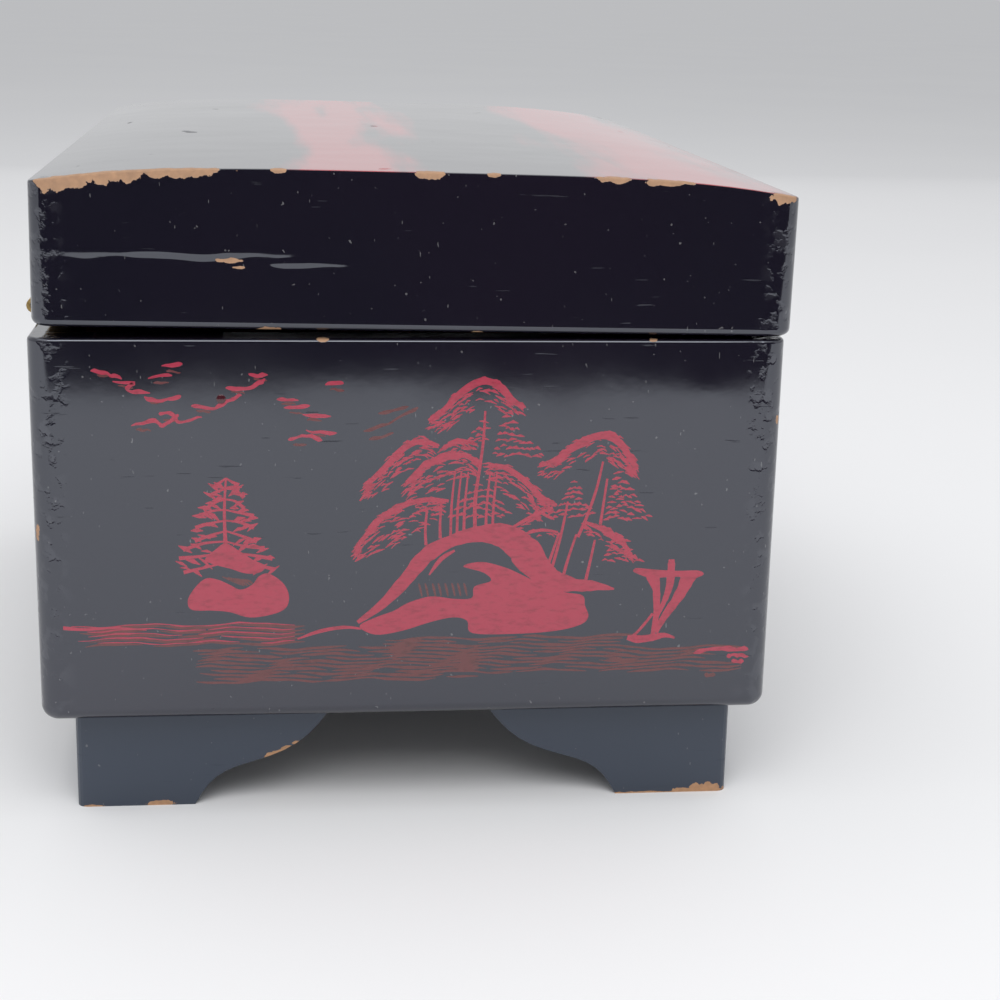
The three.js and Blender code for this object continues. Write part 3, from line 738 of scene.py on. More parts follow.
@dataclass(frozen=True)
class Metal:
    """Brass or steel with fine lines and a little tarnish."""

    name: str
    colour: Colour
    tarnish: Colour
    roughness: float = 0.28

    def build(self) -> bpy.types.Material:
        """Makes the metal."""
        draft = MaterialDraft(self.name)
        stain = ramp_node(draft.tree, noise_node(draft.tree, draft.place, 130, 5), 0.42, 0.75)
        draft.colour(draft.mix(stain, self.colour, self.tarnish))
        draft.roughness(math_node(draft.tree, "MULTIPLY_ADD", stain, 0.25, self.roughness))
        draft.bump(noise_node(draft.tree, draft.place, 1900, 2), 0.12, 0.0001)
        draft.plain(Metallic=1.0)
        return draft.material


@dataclass(frozen=True)
class Wood:
    """Plain unfinished wood with its grain along X."""

    name: str
    light: Colour = (0.5, 0.31, 0.17)
    dark: Colour = (0.3, 0.16, 0.07)

    def build(self) -> bpy.types.Material:
        """Makes the wood."""
        draft = MaterialDraft(self.name)
        grain = noise_node(draft.tree, stretch_node(draft.tree, draft.place, (8, 160, 160)), 1.5, 6)
        draft.colour(draft.mix(ramp_node(draft.tree, grain, 0.35, 0.68), self.light, self.dark))
        draft.bump(grain, 0.35, 0.0003)
        draft.plain(Roughness=0.68)
        return draft.material


@dataclass(frozen=True)
class Clear:
    """Clear pane, mirror glass or moulded plastic, told apart by their values."""

    name: str
    colour: Colour
    roughness: float = 0.04
    transmission: float = 0.0
    metallic: float = 0.0

    def build(self) -> bpy.types.Material:
        """Makes the finish with faint smears."""
        draft = MaterialDraft(self.name)
        smear = noise_node(draft.tree, draft.place, 60, 5)
        draft.roughness(math_node(draft.tree, "MULTIPLY_ADD", smear, 0.08, self.roughness))
        draft.colour(draft.mix(smear, self.colour, tuple(v * 0.93 for v in self.colour)))
        draft.plain(Metallic=self.metallic, Transmission_Weight=self.transmission, IOR=1.49)
        return draft.material


# Sub-assemblies


@dataclass
class CaseShell:
    """The lacquered case: four walls under one unbroken skin, rounded at its corners and lower edge."""

    wall: float = 8 * MM
    corner: float = 4.6 * MM
    lower: float = 5.6 * MM
    rim: float = 0.8 * MM
    lining: float = 0.2 * MM
    lining_low: float = 5.2 * MM
    lining_drop: float = 5 * MM

    def build(self, lacquer: bpy.types.Material, velvet: bpy.types.Material) -> None:
        """Models the shell and its lining.

        Args:
            lacquer: The case's lacquer.
            velvet: The lining's cloth.
        """
        low = node_box("front_wall")[0]
        high = Vector((node_box("front_wall")[1].x, node_box("back_wall")[1].y, node_box("front_wall")[1].z))
        shell = block(low, high, "case_shell")
        hollow = Vector((self.wall, self.wall, 0))
        beyond = Vector((0, 0, 1))
        cut_away(shell, block(low + hollow - beyond, high - hollow + beyond, "case_hollow"))
        self.round_edges(shell, low, high)
        polish(shell)
        walls = ("front_wall", "back_wall", "left_end_wall", "right_end_wall")
        finish_piece(shell, lacquer, Slot.LACQUER, "case", *walls)
        floor = Vector((0, 0, self.lining_low))
        top = Vector((0, 0, self.lining_drop))
        lining = block(low + hollow + floor, high - hollow - top, "case_lining")
        pick(lining, faces=lambda face: abs(face.normal.z) > 0.9)
        bpy.ops.mesh.delete(type="FACE")
        leave_edit()
        apply_modifier(lining, "SOLIDIFY", thickness=self.lining, offset=-1)
        finish_piece(lining, velvet, Slot.VELVET, "case")

    def round_edges(self, shell: bpy.types.Object, low: Vector, high: Vector) -> None:
        """Rounds the outer corners, the lower edge and the rim.

        Args:
            shell: The shell.
            low: Its lowest corner.
            high: Its highest corner.
        """
        middle = (high.y + low.y) / 2
        half = (high.y - low.y) / 2

        def outer(vert: bmesh.types.BMVert) -> bool:
            """Tells whether a point lies on one of the four outer faces or their roundings."""
            past_end = abs(vert.co.x) > high.x - self.wall + CLOSE
            return past_end or abs(vert.co.y - middle) > half - self.wall + CLOSE

        def upright(edge: bmesh.types.BMEdge) -> bool:
            """Tells whether an edge is an outer corner."""
            first, last = edge.verts
            return outer(first) and outer(last) and abs(first.co.z - last.co.z) > 10 * MM

        bevel_edges(shell, upright, self.corner, 8)
        for height, radius, segments in ((low.z, self.lower, 8), (high.z, self.rim, 3)):

            def rim(edge: bmesh.types.BMEdge, height: float = height) -> bool:
                """Tells whether an edge lies on the outer outline at this height."""
                level = all(abs(v.co.z - height) < CLOSE and outer(v) for v in edge.verts)
                return level and edge.calc_face_angle(0) > 1.2

            bevel_edges(shell, rim, radius, segments)


@dataclass
class LidShell:
    """The crowned lid under one lacquered skin, hollow below, on its hinge line."""

    half_length: float = 115 * MM
    half_depth: float = 76 * MM
    side_height: float = 28 * MM
    crown: float = 3.5 * MM
    corner: float = 4.5 * MM
    lower: float = 1.5 * MM
    upper: float = 0.45 * MM
    wall: float = 10 * MM
    hollow: float = 22.5 * MM
    strips: int = 30
    tilt: float = math.radians(0.64)
    hinge_reach: float = 78.9 * MM
    hinge_gap: float = 1.15 * MM
    lining: float = 0.2 * MM

    def placing(self) -> Matrix:
        """Gives the turn and move that puts the lid on its hinges."""
        low, high = node_box("left_hinge_pin")
        hinge = Vector((0, (low.y + high.y) / 2, (low.z + high.z) / 2))
        inner = Matrix.Translation((0, -self.hinge_reach, self.hinge_gap))
        return Matrix.Translation(hinge) @ Matrix.Rotation(self.tilt, 4, "X") @ inner

    def top_height(self, across: float) -> float:
        """Gives the crowned top's height above the lid's lower edge at a place across the depth."""
        return self.side_height + self.crown * (1 - min(1.0, abs(across) / self.half_depth) ** 4)

    def build(self, lacquer: bpy.types.Material, velvet: bpy.types.Material) -> None:
        """Models the lid and its lining.

        Args:
            lacquer: The lid's lacquer.
            velvet: The lining's cloth.
        """
        half = Vector((self.half_length, self.half_depth, 0))
        top = Vector((0, 0, self.side_height))
        lid = block(-half, half + top, "lid_shell")
        bevel_edges(lid, lambda edge: abs(edge.verts[0].co.z - edge.verts[1].co.z) > 10 * MM, self.corner, 8)
        for strip in range(1, self.strips):
            across = self.half_depth * (2 * strip / self.strips - 1)
            pick(lid, faces=lambda face: True)
            bpy.ops.mesh.bisect(plane_co=(0, across, 0), plane_no=(0, 1, 0))
            leave_edit()
        move_points(lid, self.crowned)
        sharp = 1.0
        bevel_edges(
            lid,
            lambda edge: min(v.co.z for v in edge.verts) > self.side_height - CLOSE
            and edge.calc_face_angle(0) > sharp,
            self.upper,
            2,
        )
        bevel_edges(
            lid,
            lambda edge: max(v.co.z for v in edge.verts) < CLOSE and edge.calc_face_angle(0) > sharp,
            self.lower,
            4,
        )
        inside = half - Vector((self.wall, self.wall, 0))
        beyond = Vector((0, 0, 0.02))
        cut_away(lid, block(-inside - beyond, inside + Vector((0, 0, self.hollow)), "lid_hollow"))
        lid.matrix_world = self.placing()
        settle(lid, "lid_shell")
        polish(lid)
        rims = ("lid_front_rim", "lid_back_rim", "lid_left_rim", "lid_right_rim")
        finish_piece(lid, lacquer, Slot.LACQUER, "lid", "lid_top", *rims)
        self.build_lining(inside, velvet)

    def crowned(self, point: Vector) -> Vector:
        """Lifts a point of the flat top to the crown."""
        if point.z > self.side_height - CLOSE:
            point.z = self.top_height(point.y)
        return point

    def build_lining(self, inside: Vector, velvet: bpy.types.Material) -> None:
        """Lines the lid's inner sides.

        Args:
            inside: Half the hollow's length and depth.
            velvet: The lining's cloth.
        """
        edge = Vector((0, 0, 1.5 * MM))
        lining = block(-inside + edge, inside + Vector((0, 0, self.hollow)), "lid_lining")
        pick(lining, faces=lambda face: abs(face.normal.z) > 0.9)
        bpy.ops.mesh.delete(type="FACE")
        leave_edit()
        apply_modifier(lining, "SOLIDIFY", thickness=self.lining, offset=-1)
        lining.matrix_world = self.placing()
        settle(lining, "lid_lining")
        finish_piece(lining, velvet, Slot.VELVET, "lid")


@dataclass
class MirrorSurround:
    """The padded velvet frame round the mirror, drawn in at its edges, mitres and sewn channels."""

    outer: Place = (104.8, 65.8)
    inner: Place = (70.2, 42.2)
    low: float = 19.3
    high: float = 22.3
    puff: float = 1.7
    across: int = 12
    channels: Place = (9, 6)
    steps: int = 8

    def border(self) -> list[Place]:
        """Walks round a square from -1 to 1, with more steps on the long sides."""
        long, short = (int(count * self.steps) for count in self.channels)
        walk = [(2 * i / long - 1, -1.0) for i in range(long)]
        walk += [(1.0, 2 * i / short - 1) for i in range(short)]
        return walk + [(-a, -b) for a, b in walk]

    def build(self, velvet: bpy.types.Material, placing: Matrix) -> None:
        """Models the surround.

        Args:
            velvet: Its cloth.
            placing: The lid's placing.
        """
        walk = self.border()
        rings = []
        levels = [(0.0, self.high), (0.0, self.low + 1.0)]
        levels += [(t / self.across, None) for t in range(self.across + 1)]
        levels += [(1.0, self.low + 1.0), (1.0, self.high)]
        for share, height in levels:
            half = [self.outer[k] + (self.inner[k] - self.outer[k]) * share for k in (0, 1)]
            ring = []
            for a, b in walk:
                z = self.low + 0.9 - self.swell(share, a, b) if height is None else height
                ring.append(placing @ (Vector((a * half[0], b * half[1], z)) * MM))
            rings.append(ring)
        piece = loft("mirror_pad", rings, closed=True)
        finish_piece(piece, velvet, Slot.VELVET, "lid", "mirror_surround")

    def swell(self, share: float, a: float, b: float) -> float:
        """Gives how far the padding stands out.

        Args:
            share: How far across the frame, from its outer edge.
            a: The place along the long side, -1 to 1.
            b: The place along the short side, -1 to 1.

        Returns:
            The height of the padding, in millimetres.
        """
        along, count = (a, self.channels[0]) if abs(b) > 1 - CLOSE else (b, self.channels[1])
        phase = (along + 1) / 2 * count
        channel = abs(math.sin(math.pi * phase)) ** 0.5
        return self.puff * math.sin(math.pi * share) ** 0.5 * (0.45 + 0.55 * channel)


@dataclass
class TrayCushions:
    """Three padded ring rolls that stand side by side in the tray."""

    nodes: tuple[str, ...] = ("ring_roll_1", "ring_roll_2", "ring_roll_3")
    around: int = 32
    steps: int = 44
    seed: int = 5

    def build(self, velvet: bpy.types.Material) -> None:
        """Models the rolls.

        Args:
            velvet: Their cloth.
        """
        draw = random.Random(self.seed)
        for number, node in enumerate(self.nodes, 1):
            low, high = node_box(node)
            sway = [draw.uniform(0, 6.28) for _ in range(3)]
            rings = [self.ring(low, high, i / self.steps, sway) for i in range(self.steps + 1)]
            piece = loft(f"ring_cushion_{number}", rings, closed=False)
            finish_piece(piece, velvet, Slot.VELVET, "tray", node)

    def ring(self, low: Vector, high: Vector, share: float, sway: list[float]) -> list[Vector]:
        """Gives one cross-section of a roll.

        Args:
            low: The roll's lowest corner.
            high: Its highest corner.
            share: How far along the roll, 0 to 1.
            sway: Phases of its soft unevenness.

        Returns:
            The section's points.
        """
        end = abs(2 * share - 1)
        eased = math.sin((2 * share - 1) * math.pi / 2)
        drawn = 0.55 + 0.45 * (1 - end**16) ** 0.4 if end < 1 else 0.5
        size = high - low
        soft = 1 + 0.012 * math.sin(9 * share + sway[0]) + 0.008 * math.sin(23 * share + sway[1])
        x = (low.x + high.x) / 2 + size.x / 2 * (0.25 * eased + 0.75 * (2 * share - 1))
        middle = Vector((x, (low.y + high.y) / 2, low.z + size.z * 0.42))
        ring = []
        for i in range(self.around):
            turn = 2 * math.pi * i / self.around
            c, s = math.cos(turn), math.sin(turn)
            lift = size.z * (0.58 if s > 0 else 0.42)
            bulge = 2 / (2.5 if s > 0 else 5)
            wide = math.copysign(abs(c) ** bulge, c) * size.y / 2 * 0.985 * drawn
            tall = math.copysign(abs(s) ** bulge, s) * lift * (soft if s > 0 else 1) * (drawn if s > 0 else 1)
            point = middle + Vector((0, wide, min(tall, size.z * 0.575)))
            ring.append(point)
        return ring


@dataclass
class FloorPads:
    """Thin velvet pads on the floors of the two compartments."""

    nodes: tuple[str, ...] = ("main_floor_pad", "front_floor_pad")
    crown: float = 0.5 * MM
    edge: float = 0.7 * MM
    cuts: int = 24

    def build(self, velvet: bpy.types.Material) -> None:
        """Models the pads.

        Args:
            velvet: Their cloth.
        """
        for node in self.nodes:
            low, high = node_box(node)
            pad = block(low, high, node.replace("_floor_pad", "_compartment_pad"))
            pick(pad, edges=lambda edge: True)
            bpy.ops.mesh.subdivide(number_cuts=self.cuts)
            leave_edit()
            middle, half = (low + high) / 2, (high - low) / 2

            def softened(point: Vector, middle: Vector = middle, half: Vector = half) -> Vector:
                """Draws in the upper edges and lifts the middle."""
                a = abs(point.x - middle.x) / half.x
                b = abs(point.y - middle.y) / half.y
                if point.z > middle.z:
                    point.z += self.crown * (1 - a**4) * (1 - b**4) - self.edge * max(a**60, b**60)
                return point

            move_points(pad, softened)
            smooth(pad, 60)
            finish_piece(pad, velvet, Slot.VELVET, "case", node)


@dataclass
class Screws:
    """Slotted round-head screws of one size, modelled once and copied to each place."""

    name: str
    radius: float
    height: float
    places: tuple[Colour, ...]
    slot_share: float = 0.28
    downwards: bool = False

    def build(self, metal: bpy.types.Material, body: str) -> None:
        """Models the screws.

        Args:
            metal: Their metal.
            body: The body that they hold on.
        """
        clear_selection()
        bpy.ops.mesh.primitive_cylinder_add(vertices=28, radius=self.radius, depth=self.height)
        head = settle(bpy.context.object, self.name)
        bevel_edges(
            head, lambda edge: all(v.co.z > self.height * 0.4 for v in edge.verts), self.height * 0.45, 4
        )
        slot = Vector((self.radius * 2, self.radius * self.slot_share / 2, self.height))
        cut_away(head, block(Vector((-slot.x, -slot.y, self.height * 0.1)), slot, "screw_slot"))
        copies = []
        for number, (x, y, z) in enumerate(self.places):
            copy = head.copy()
            copy.data = head.data.copy()
            bpy.context.scene.collection.objects.link(copy)
            turn = Matrix.Rotation(0.7 + 1.9 * number, 4, "Z")
            if self.downwards:
                turn = Matrix.Rotation(math.pi, 4, "X") @ turn
            copy.matrix_world = Matrix.Translation(Vector((x, y, z)) * MM) @ turn
            copies.append(copy)
        bpy.data.objects.remove(head)
        clear_selection()
        for copy in copies:
            copy.select_set(True)
        bpy.context.view_layer.objects.active = copies[0]
        if len(copies) > 1:
            bpy.ops.object.join()
        screws = settle(copies[0], self.name)
        smooth(screws, 40)
        finish_piece(screws, metal, Slot.STEEL, body)


@dataclass
class Studio:
    """Pale floor, soft lights and the camera at the photograph's angle."""

    distance: float = 376.8
    sideways: float = 27.3
    height: float = 169.0
    yaw: float = math.radians(6.81)
    pitch: float = math.radians(14.9)
    roll: float = math.radians(1.33)
    focal: float = 1926.0
    body_middle: float = -1.09
    floor_colour: Colour = (0.88, 0.88, 0.885)
    floor_size: float = 600.0
    room: float = 0.6
    flag_place: float = -0.56
    flag_half_width: float = 0.9
    flag_height: float = 0.5
    sensor: float = 36.0
    frame_width: float = 1000.0

    def camera(self) -> None:
        """Adds the camera."""
        data = bpy.data.cameras.new("camera")
        data.sensor_width = self.sensor
        data.sensor_fit = "HORIZONTAL"
        data.lens = self.focal / self.frame_width * self.sensor
        data.clip_start = 0.01
        data.clip_end = 1000
        eye = bpy.data.objects.new("camera", data)
        bpy.context.scene.collection.objects.link(eye)
        flat = math.cos(self.pitch)
        forward = Vector((math.cos(self.yaw) * flat, -math.sin(self.yaw) * flat, -math.sin(self.pitch)))
        level = Vector((-math.sin(self.yaw), -math.cos(self.yaw), 0))
        upward = level.cross(forward)
        right = math.cos(self.roll) * level + math.sin(self.roll) * upward
        top = -math.sin(self.roll) * level + math.cos(self.roll) * upward
        end_face = node_box("left_end_wall")[0].x / MM
        place = Vector((end_face - self.distance, self.body_middle + self.sideways, self.height)) * MM
        eye.matrix_world = Matrix.Translation(place) @ Matrix((right, top, -forward)).transposed().to_4x4()
        bpy.context.scene.camera = eye

    def floor(self) -> None:
        """Adds the pale floor."""
        clear_selection()
        bpy.ops.mesh.primitive_plane_add(size=self.floor_size)
        ground = settle(bpy.context.object, "floor")
        draft = MaterialDraft("floor_paper")
        clouded = noise_node(draft.tree, draft.place, 3, 2)
        draft.colour(draft.mix(clouded, self.floor_colour, (0.85, 0.85, 0.86)))
        draft.plain(Roughness=0.6, Specular_IOR_Level=0.0)
        ground.data.materials.append(draft.material)

    def flag(self) -> None:
        """Adds the dark board beyond the camera, seen only in reflections such as the lid's end."""
        low = Vector((self.flag_place - 0.01, -self.flag_half_width, 0))
        high = Vector((self.flag_place, self.flag_half_width, self.flag_height))
        board = block(low, high, "dark_flag")
        draft = MaterialDraft("flag_cloth")
        draft.plain(Base_Color=(0.018, 0.02, 0.03, 1), Roughness=0.9)
        board.data.materials.append(draft.material)
        board.visible_camera = board.visible_diffuse = board.visible_shadow = False

    def light(self, name: str, place: Colour, target: Colour, size: Place, power: float) -> None:
        """Adds a soft light.

        Args:
            name: Its name.
            place: Where it hangs, in metres.
            target: What it points at.
            size: Its width and height, in metres.
            power: Its power in watts.
        """
        data = bpy.data.lights.new(name, "AREA")
        data.shape = "RECTANGLE"
        data.size, data.size_y = size
        data.energy = power
        lamp = bpy.data.objects.new(name, data)
        lamp.visible_camera = False
        bpy.context.scene.collection.objects.link(lamp)
        aim = Vector(target) - Vector(place)
        lamp.matrix_world = Matrix.Translation(place) @ aim.to_track_quat("-Z", "Y").to_matrix().to_4x4()

    def build(self) -> None:
        """Sets up floor, lights, surroundings and camera."""
        self.camera()
        self.floor()
        self.flag()
        self.light("overhead", (-0.15, 0.0, 1.3), (-0.1, 0, 0), (2.0, 2.0), 7.0)
        self.light("back_softbox", (1.35, 0.0, 0.72), (0, 0, 0.72), (3.2, 1.2), 2.0)
        self.light("window_softbox", (-1.0, 0.1, 1.1), (-0.15, 0, 0), (1.0, 0.9), 8.5)
        bpy.context.scene.view_settings.view_transform = "Standard"
        world = bpy.data.worlds.new("room")
        world.use_nodes = True
        world.node_tree.nodes["Background"].inputs["Color"].default_value = (0.97, 0.98, 1.0, 1)
        world.node_tree.nodes["Background"].inputs["Strength"].default_value = self.room
        bpy.context.scene.world = world


@dataclass
class Brush:
    """Gathers brush strokes on the end panel into one thin relief.

    Places are in millimetres: along is from the panel's middle towards the front, up is above the floor.
    Strokes that cross lie on levels of their own, so that none share a plane.
    """

    name: str
    face: float
    middle: float
    seed: int
    base_lift: float = 0.012
    lift_step: float = 0.0008
    sunk: float = 0.05
    points: list[Colour] = field(default_factory=list)
    faces: list[list[int]] = field(default_factory=list)
    laid: list[tuple[float, float, float, float, int]] = field(default_factory=list)

    def __post_init__(self) -> None:
        """Starts the brush's own draws."""
        self.random = random.Random(self.seed)

    def spot(self, place: Place, lift: float) -> Colour:
        """Turns a place on the panel into a point in metres."""
        return (self.face - lift * MM, (self.middle - place[0]) * MM, place[1] * MM)

    def level(self, outline: list[Place]) -> float:
        """Finds the lowest level that nothing laid at this place holds yet.

        Args:
            outline: The new stroke's outline.

        Returns:
            The level's height above the lacquer, in millimetres.
        """
        left, right = min(spot[0] for spot in outline), max(spot[0] for spot in outline)
        low, high = min(spot[1] for spot in outline), max(spot[1] for spot in outline)
        held = {n for a, b, c, d, n in self.laid if a <= right and b >= left and c <= high and d >= low}
        number = next(n for n in range(len(self.laid) + 1) if n not in held)
        self.laid.append((left, right, low, high, number))
        return self.base_lift + self.lift_step * number

    def patch(self, corners: list[Place], steps: int = 5) -> None:
        """Fills a smooth closed outline.

        Args:
            corners: Places that the outline passes.
            steps: How many points each stretch has.
        """
        outline = through(corners, steps, closed=True)
        area = sum(a[0] * b[1] - b[0] * a[1] for a, b in zip(outline, outline[1:] + outline[:1]))
        if area < 0:
            outline.reverse()
        count, start, lift = len(outline), len(self.points), self.level(outline)
        self.points += [self.spot(place, lift) for place in outline]
        self.points += [self.spot(place, -self.sunk) for place in outline]
        self.faces.append([start + i for i in range(count)])
        self.faces.append([start + count + i for i in reversed(range(count))])
        for i in range(count):
            j = (i + 1) % count
            self.faces.append([start + j, start + i, start + count + i, start + count + j])

    def stroke(self, path: list[Place], widths: list[float], steps: int = 3) -> None:
        """Lays one stroke that swells and thins along its path.

        Args:
            path: The places that the brush passes.
            widths: The stroke's width at each of them.
            steps: How many points each stretch has.
        """
        line = through([(*place, width) for place, width in zip(path, widths)], steps, closed=False)
        edges = []
        for i, (a, u, width) in enumerate(line):
            before, after = line[max(i - 1, 0)], line[min(i + 1, len(line) - 1)]
            run = Vector((after[0] - before[0], after[1] - before[1])).normalized()
            half = max(0.05, width * self.random.uniform(0.92, 1.08) / 2)
            pair = []
            for side, sign in enumerate((1, -1)):
                spot = (a - sign * run.y * half, u + sign * run.x * half)
                last = edges[-1][side] if edges else spot
                backwards = (spot[0] - last[0]) * run.x + (spot[1] - last[1]) * run.y < 0
                pair.append(last if backwards else spot)
            edges.append(pair)
        start, lift = len(self.points), self.level([spot for pair in edges for spot in pair])
        for left, right in edges:
            self.points += [self.spot(left, lift), self.spot(right, lift)]
            self.points += [self.spot(left, -self.sunk), self.spot(right, -self.sunk)]
        for i in range(len(line) - 1):
            here, there = start + 4 * i, start + 4 * (i + 1)
            self.faces.append([here + 1, there + 1, there, here])
            self.faces.append([here + 2, there + 2, there + 3, here + 3])
            self.faces.append([there + 1, here + 1, here + 3, there + 3])
            self.faces.append([here, there, there + 2, here + 2])
        last = start + 4 * (len(line) - 1)
        self.faces.append([start + 1, start, start + 2, start + 3])
        self.faces.append([last, last + 1, last + 3, last + 2])

    def cap(self, path: list[Place], heavy: float, hang: float, needles: int) -> None:
        """Paints an umbrella canopy: a heavy curved back with fine needles below it.

        Args:
            path: The places that its back passes.
            heavy: The back's width at its middle.
            hang: How far the needles reach below it.
            needles: How many there are.
        """
        last = len(path) - 1
        swell = [math.sin(math.pi * (0.12 + 0.76 * i / last)) for i in range(last + 1)]
        self.stroke(path, [0.4 + (heavy * 0.6 - 0.4) * share for share in swell])
        line = through(path, 8, closed=False)
        for number in range(needles * 2):
            share = self.random.uniform(0.02, 0.98)
            index = int(share * (len(line) - 2))
            a, u = line[index]
            slope = Vector((line[index + 1][0] - a, line[index + 1][1] - u)).normalized()
            full = math.sin(math.pi * share) ** 0.7
            if number % 2:
                away = self.random.uniform(-0.55, 0.5) * heavy * (0.5 + full / 2)
            else:
                away = -heavy * 0.35 - self.random.uniform(0.1, 1.0) * hang * full
            reach = self.random.uniform(0.5, 1.3)
            lean = slope.y * 0.9 + self.random.uniform(-0.35, 0.35)
            spot = (a + self.random.uniform(-0.4, 0.4), u + away)
            self.arc(spot, reach, lean, self.random.uniform(0.28, 0.55))

    def arc(self, spot: Place, reach: float, lean: float, thick: float) -> None:
        """Lays one short arched dab.

        Args:
            spot: Its middle.
            reach: Half its length.
            lean: How far it climbs towards the front.
            thick: Its width at the middle.
        """
        a, u = spot
        rise = self.random.uniform(0.1, 0.35)
        path = [(a - reach, u - lean * reach - rise), (a, u), (a + reach, u + lean * reach - rise)]
        self.stroke(path, [0.14, thick, 0.14], 1)

    def clump(self, tip: Place, left: float, right: float, foot: float) -> None:
        """Fills a three-cornered clump of needles with short drooping dabs.

        Args:
            tip: Its upper corner.
            left: Its left lower corner.
            right: Its right lower corner.
            foot: The height of its lower edge.
        """
        up = tip[1]
        while up > foot:
            share = (tip[1] - up) / (tip[1] - foot)
            at = tip[0] + (left - tip[0]) * share - 0.5
            end = tip[0] + (right - tip[0]) * share + 0.5
            while at < end:
                reach = self.random.uniform(0.5, 1.1)
                lean = self.random.uniform(-0.3, 0.3) - 0.5 * (at - tip[0]) / max(2.0, right - left)
                spot = (at + reach, up + self.random.uniform(-0.45, 0.45))
                self.arc(spot, reach, lean, self.random.uniform(0.4, 0.75))
                at += reach * self.random.uniform(1.2, 2.0)
            up -= self.random.uniform(0.95, 1.5)

    def boughs(self, top: Place, foot: Place, half: float, rows: int) -> None:
        """Paints a pine of open boughs that end in leafy tips.

        Args:
            top: Its tip.
            foot: The foot of its stem.
            half: The lowest boughs' length.
            rows: How many pairs of boughs it has.
        """
        for row in range(rows):
            share = (row + 0.6) / rows
            a = top[0] + (foot[0] - top[0]) * share
            u = top[1] + (foot[1] - top[1]) * share
            for side in (-1, 1):
                reach = half * (0.18 + 0.82 * share) * self.random.uniform(0.8, 1.08)
                middle = (a + side * reach * 0.5, u + self.random.uniform(-0.2, 0.8))
                end = (a + side * reach, u - self.random.uniform(0.3, 1.5))
                self.stroke([(a, u + 0.9), middle, end], [0.35, 0.55, 0.8])
                for tip in (0.45, 0.7, 0.95):
                    spot = (a + side * reach * tip, u - tip * 0.8 + self.random.uniform(-0.8, 0.8))
                    lean = side * self.random.uniform(-0.2, 0.9)
                    self.arc(spot, self.random.uniform(0.9, 1.5), lean, self.random.uniform(0.6, 1.05))

    def drift(self, path: list[Place], thick: float) -> None:
        """Lays a wavering stroke that thins at both ends.

        Args:
            path: The places that it passes.
            thick: Its width.
        """
        line = through(path, 4, closed=False)
        shaken = [(a + self.random.uniform(-0.15, 0.15), u + self.random.uniform(-0.2, 0.2)) for a, u in line]
        widths = [thick * self.random.uniform(0.6, 1.3) for _ in line]
        self.stroke(shaken, [0.2, *widths[1:-1], 0.2], 2)

    def ripples(self, start: float, end: float, high: float, low: float, rows: int, thick: float) -> None:
        """Paints a band of long thin ripples.

        Args:
            start: Where the band starts.
            end: Where it ends.
            high: Its upper height.
            low: Its lower height.
            rows: How many rows of ripples it has.
            thick: The ripples' width.
        """
        for row in range(rows):
            up = high + (low - high) * row / max(1, rows - 1)
            at = start + self.random.uniform(0, 6)
            while at < end - 6:
                reach = min(self.random.uniform(10, 30), end - at)
                count = max(3, int(reach / 2.5))
                run = [at + reach * t / count for t in range(count + 1)]
                waves = [0.3 * math.sin(a / 3.1 + 0.5 * row) + 0.1 * math.sin(a / 1.2 + row) for a in run]
                widths = [thick * self.random.uniform(0.6, 1.35) for _ in run]
                path = [(a, up + wave) for a, wave in zip(run, waves)]
                self.stroke(path, [0.12, *widths[1:-1], 0.12], 2)
                at += reach + self.random.uniform(-2, 5)

    def piece(self, paint: bpy.types.Material) -> bpy.types.Object:
        """Makes the relief and dresses it.

        Args:
            paint: The paint.

        Returns:
            The painted relief.
        """
        return finish_piece(mesh_piece(self.name, self.points, self.faces), paint, Slot.LACQUER, "case")


def through(spots: list[tuple], steps: int, closed: bool) -> list[tuple]:
    """Passes a smooth line through places.

    Args:
        spots: The places, all with the same count of numbers.
        steps: How many points each stretch has.
        closed: Whether the line comes back to its start.

    Returns:
        The line's points.
    """
    count = len(spots)
    line = []
    for i in range(count if closed else count - 1):
        numbers = [(i + k) % count if closed else min(max(i + k, 0), count - 1) for k in (-1, 0, 1, 2)]
        p0, p1, p2, p3 = (spots[k] for k in numbers)
        for step in range(steps):
            t = step / steps
            line.append(tuple(
                0.5 * (
                    2 * b + (c - a) * t + (2 * a - 5 * b + 4 * c - d) * t**2 + (3 * b - a - 3 * c + d) * t**3
                )
                for a, b, c, d in zip(p0, p1, p2, p3)
            ))
    if not closed:
        line.append(tuple(spots[-1]))
    return line


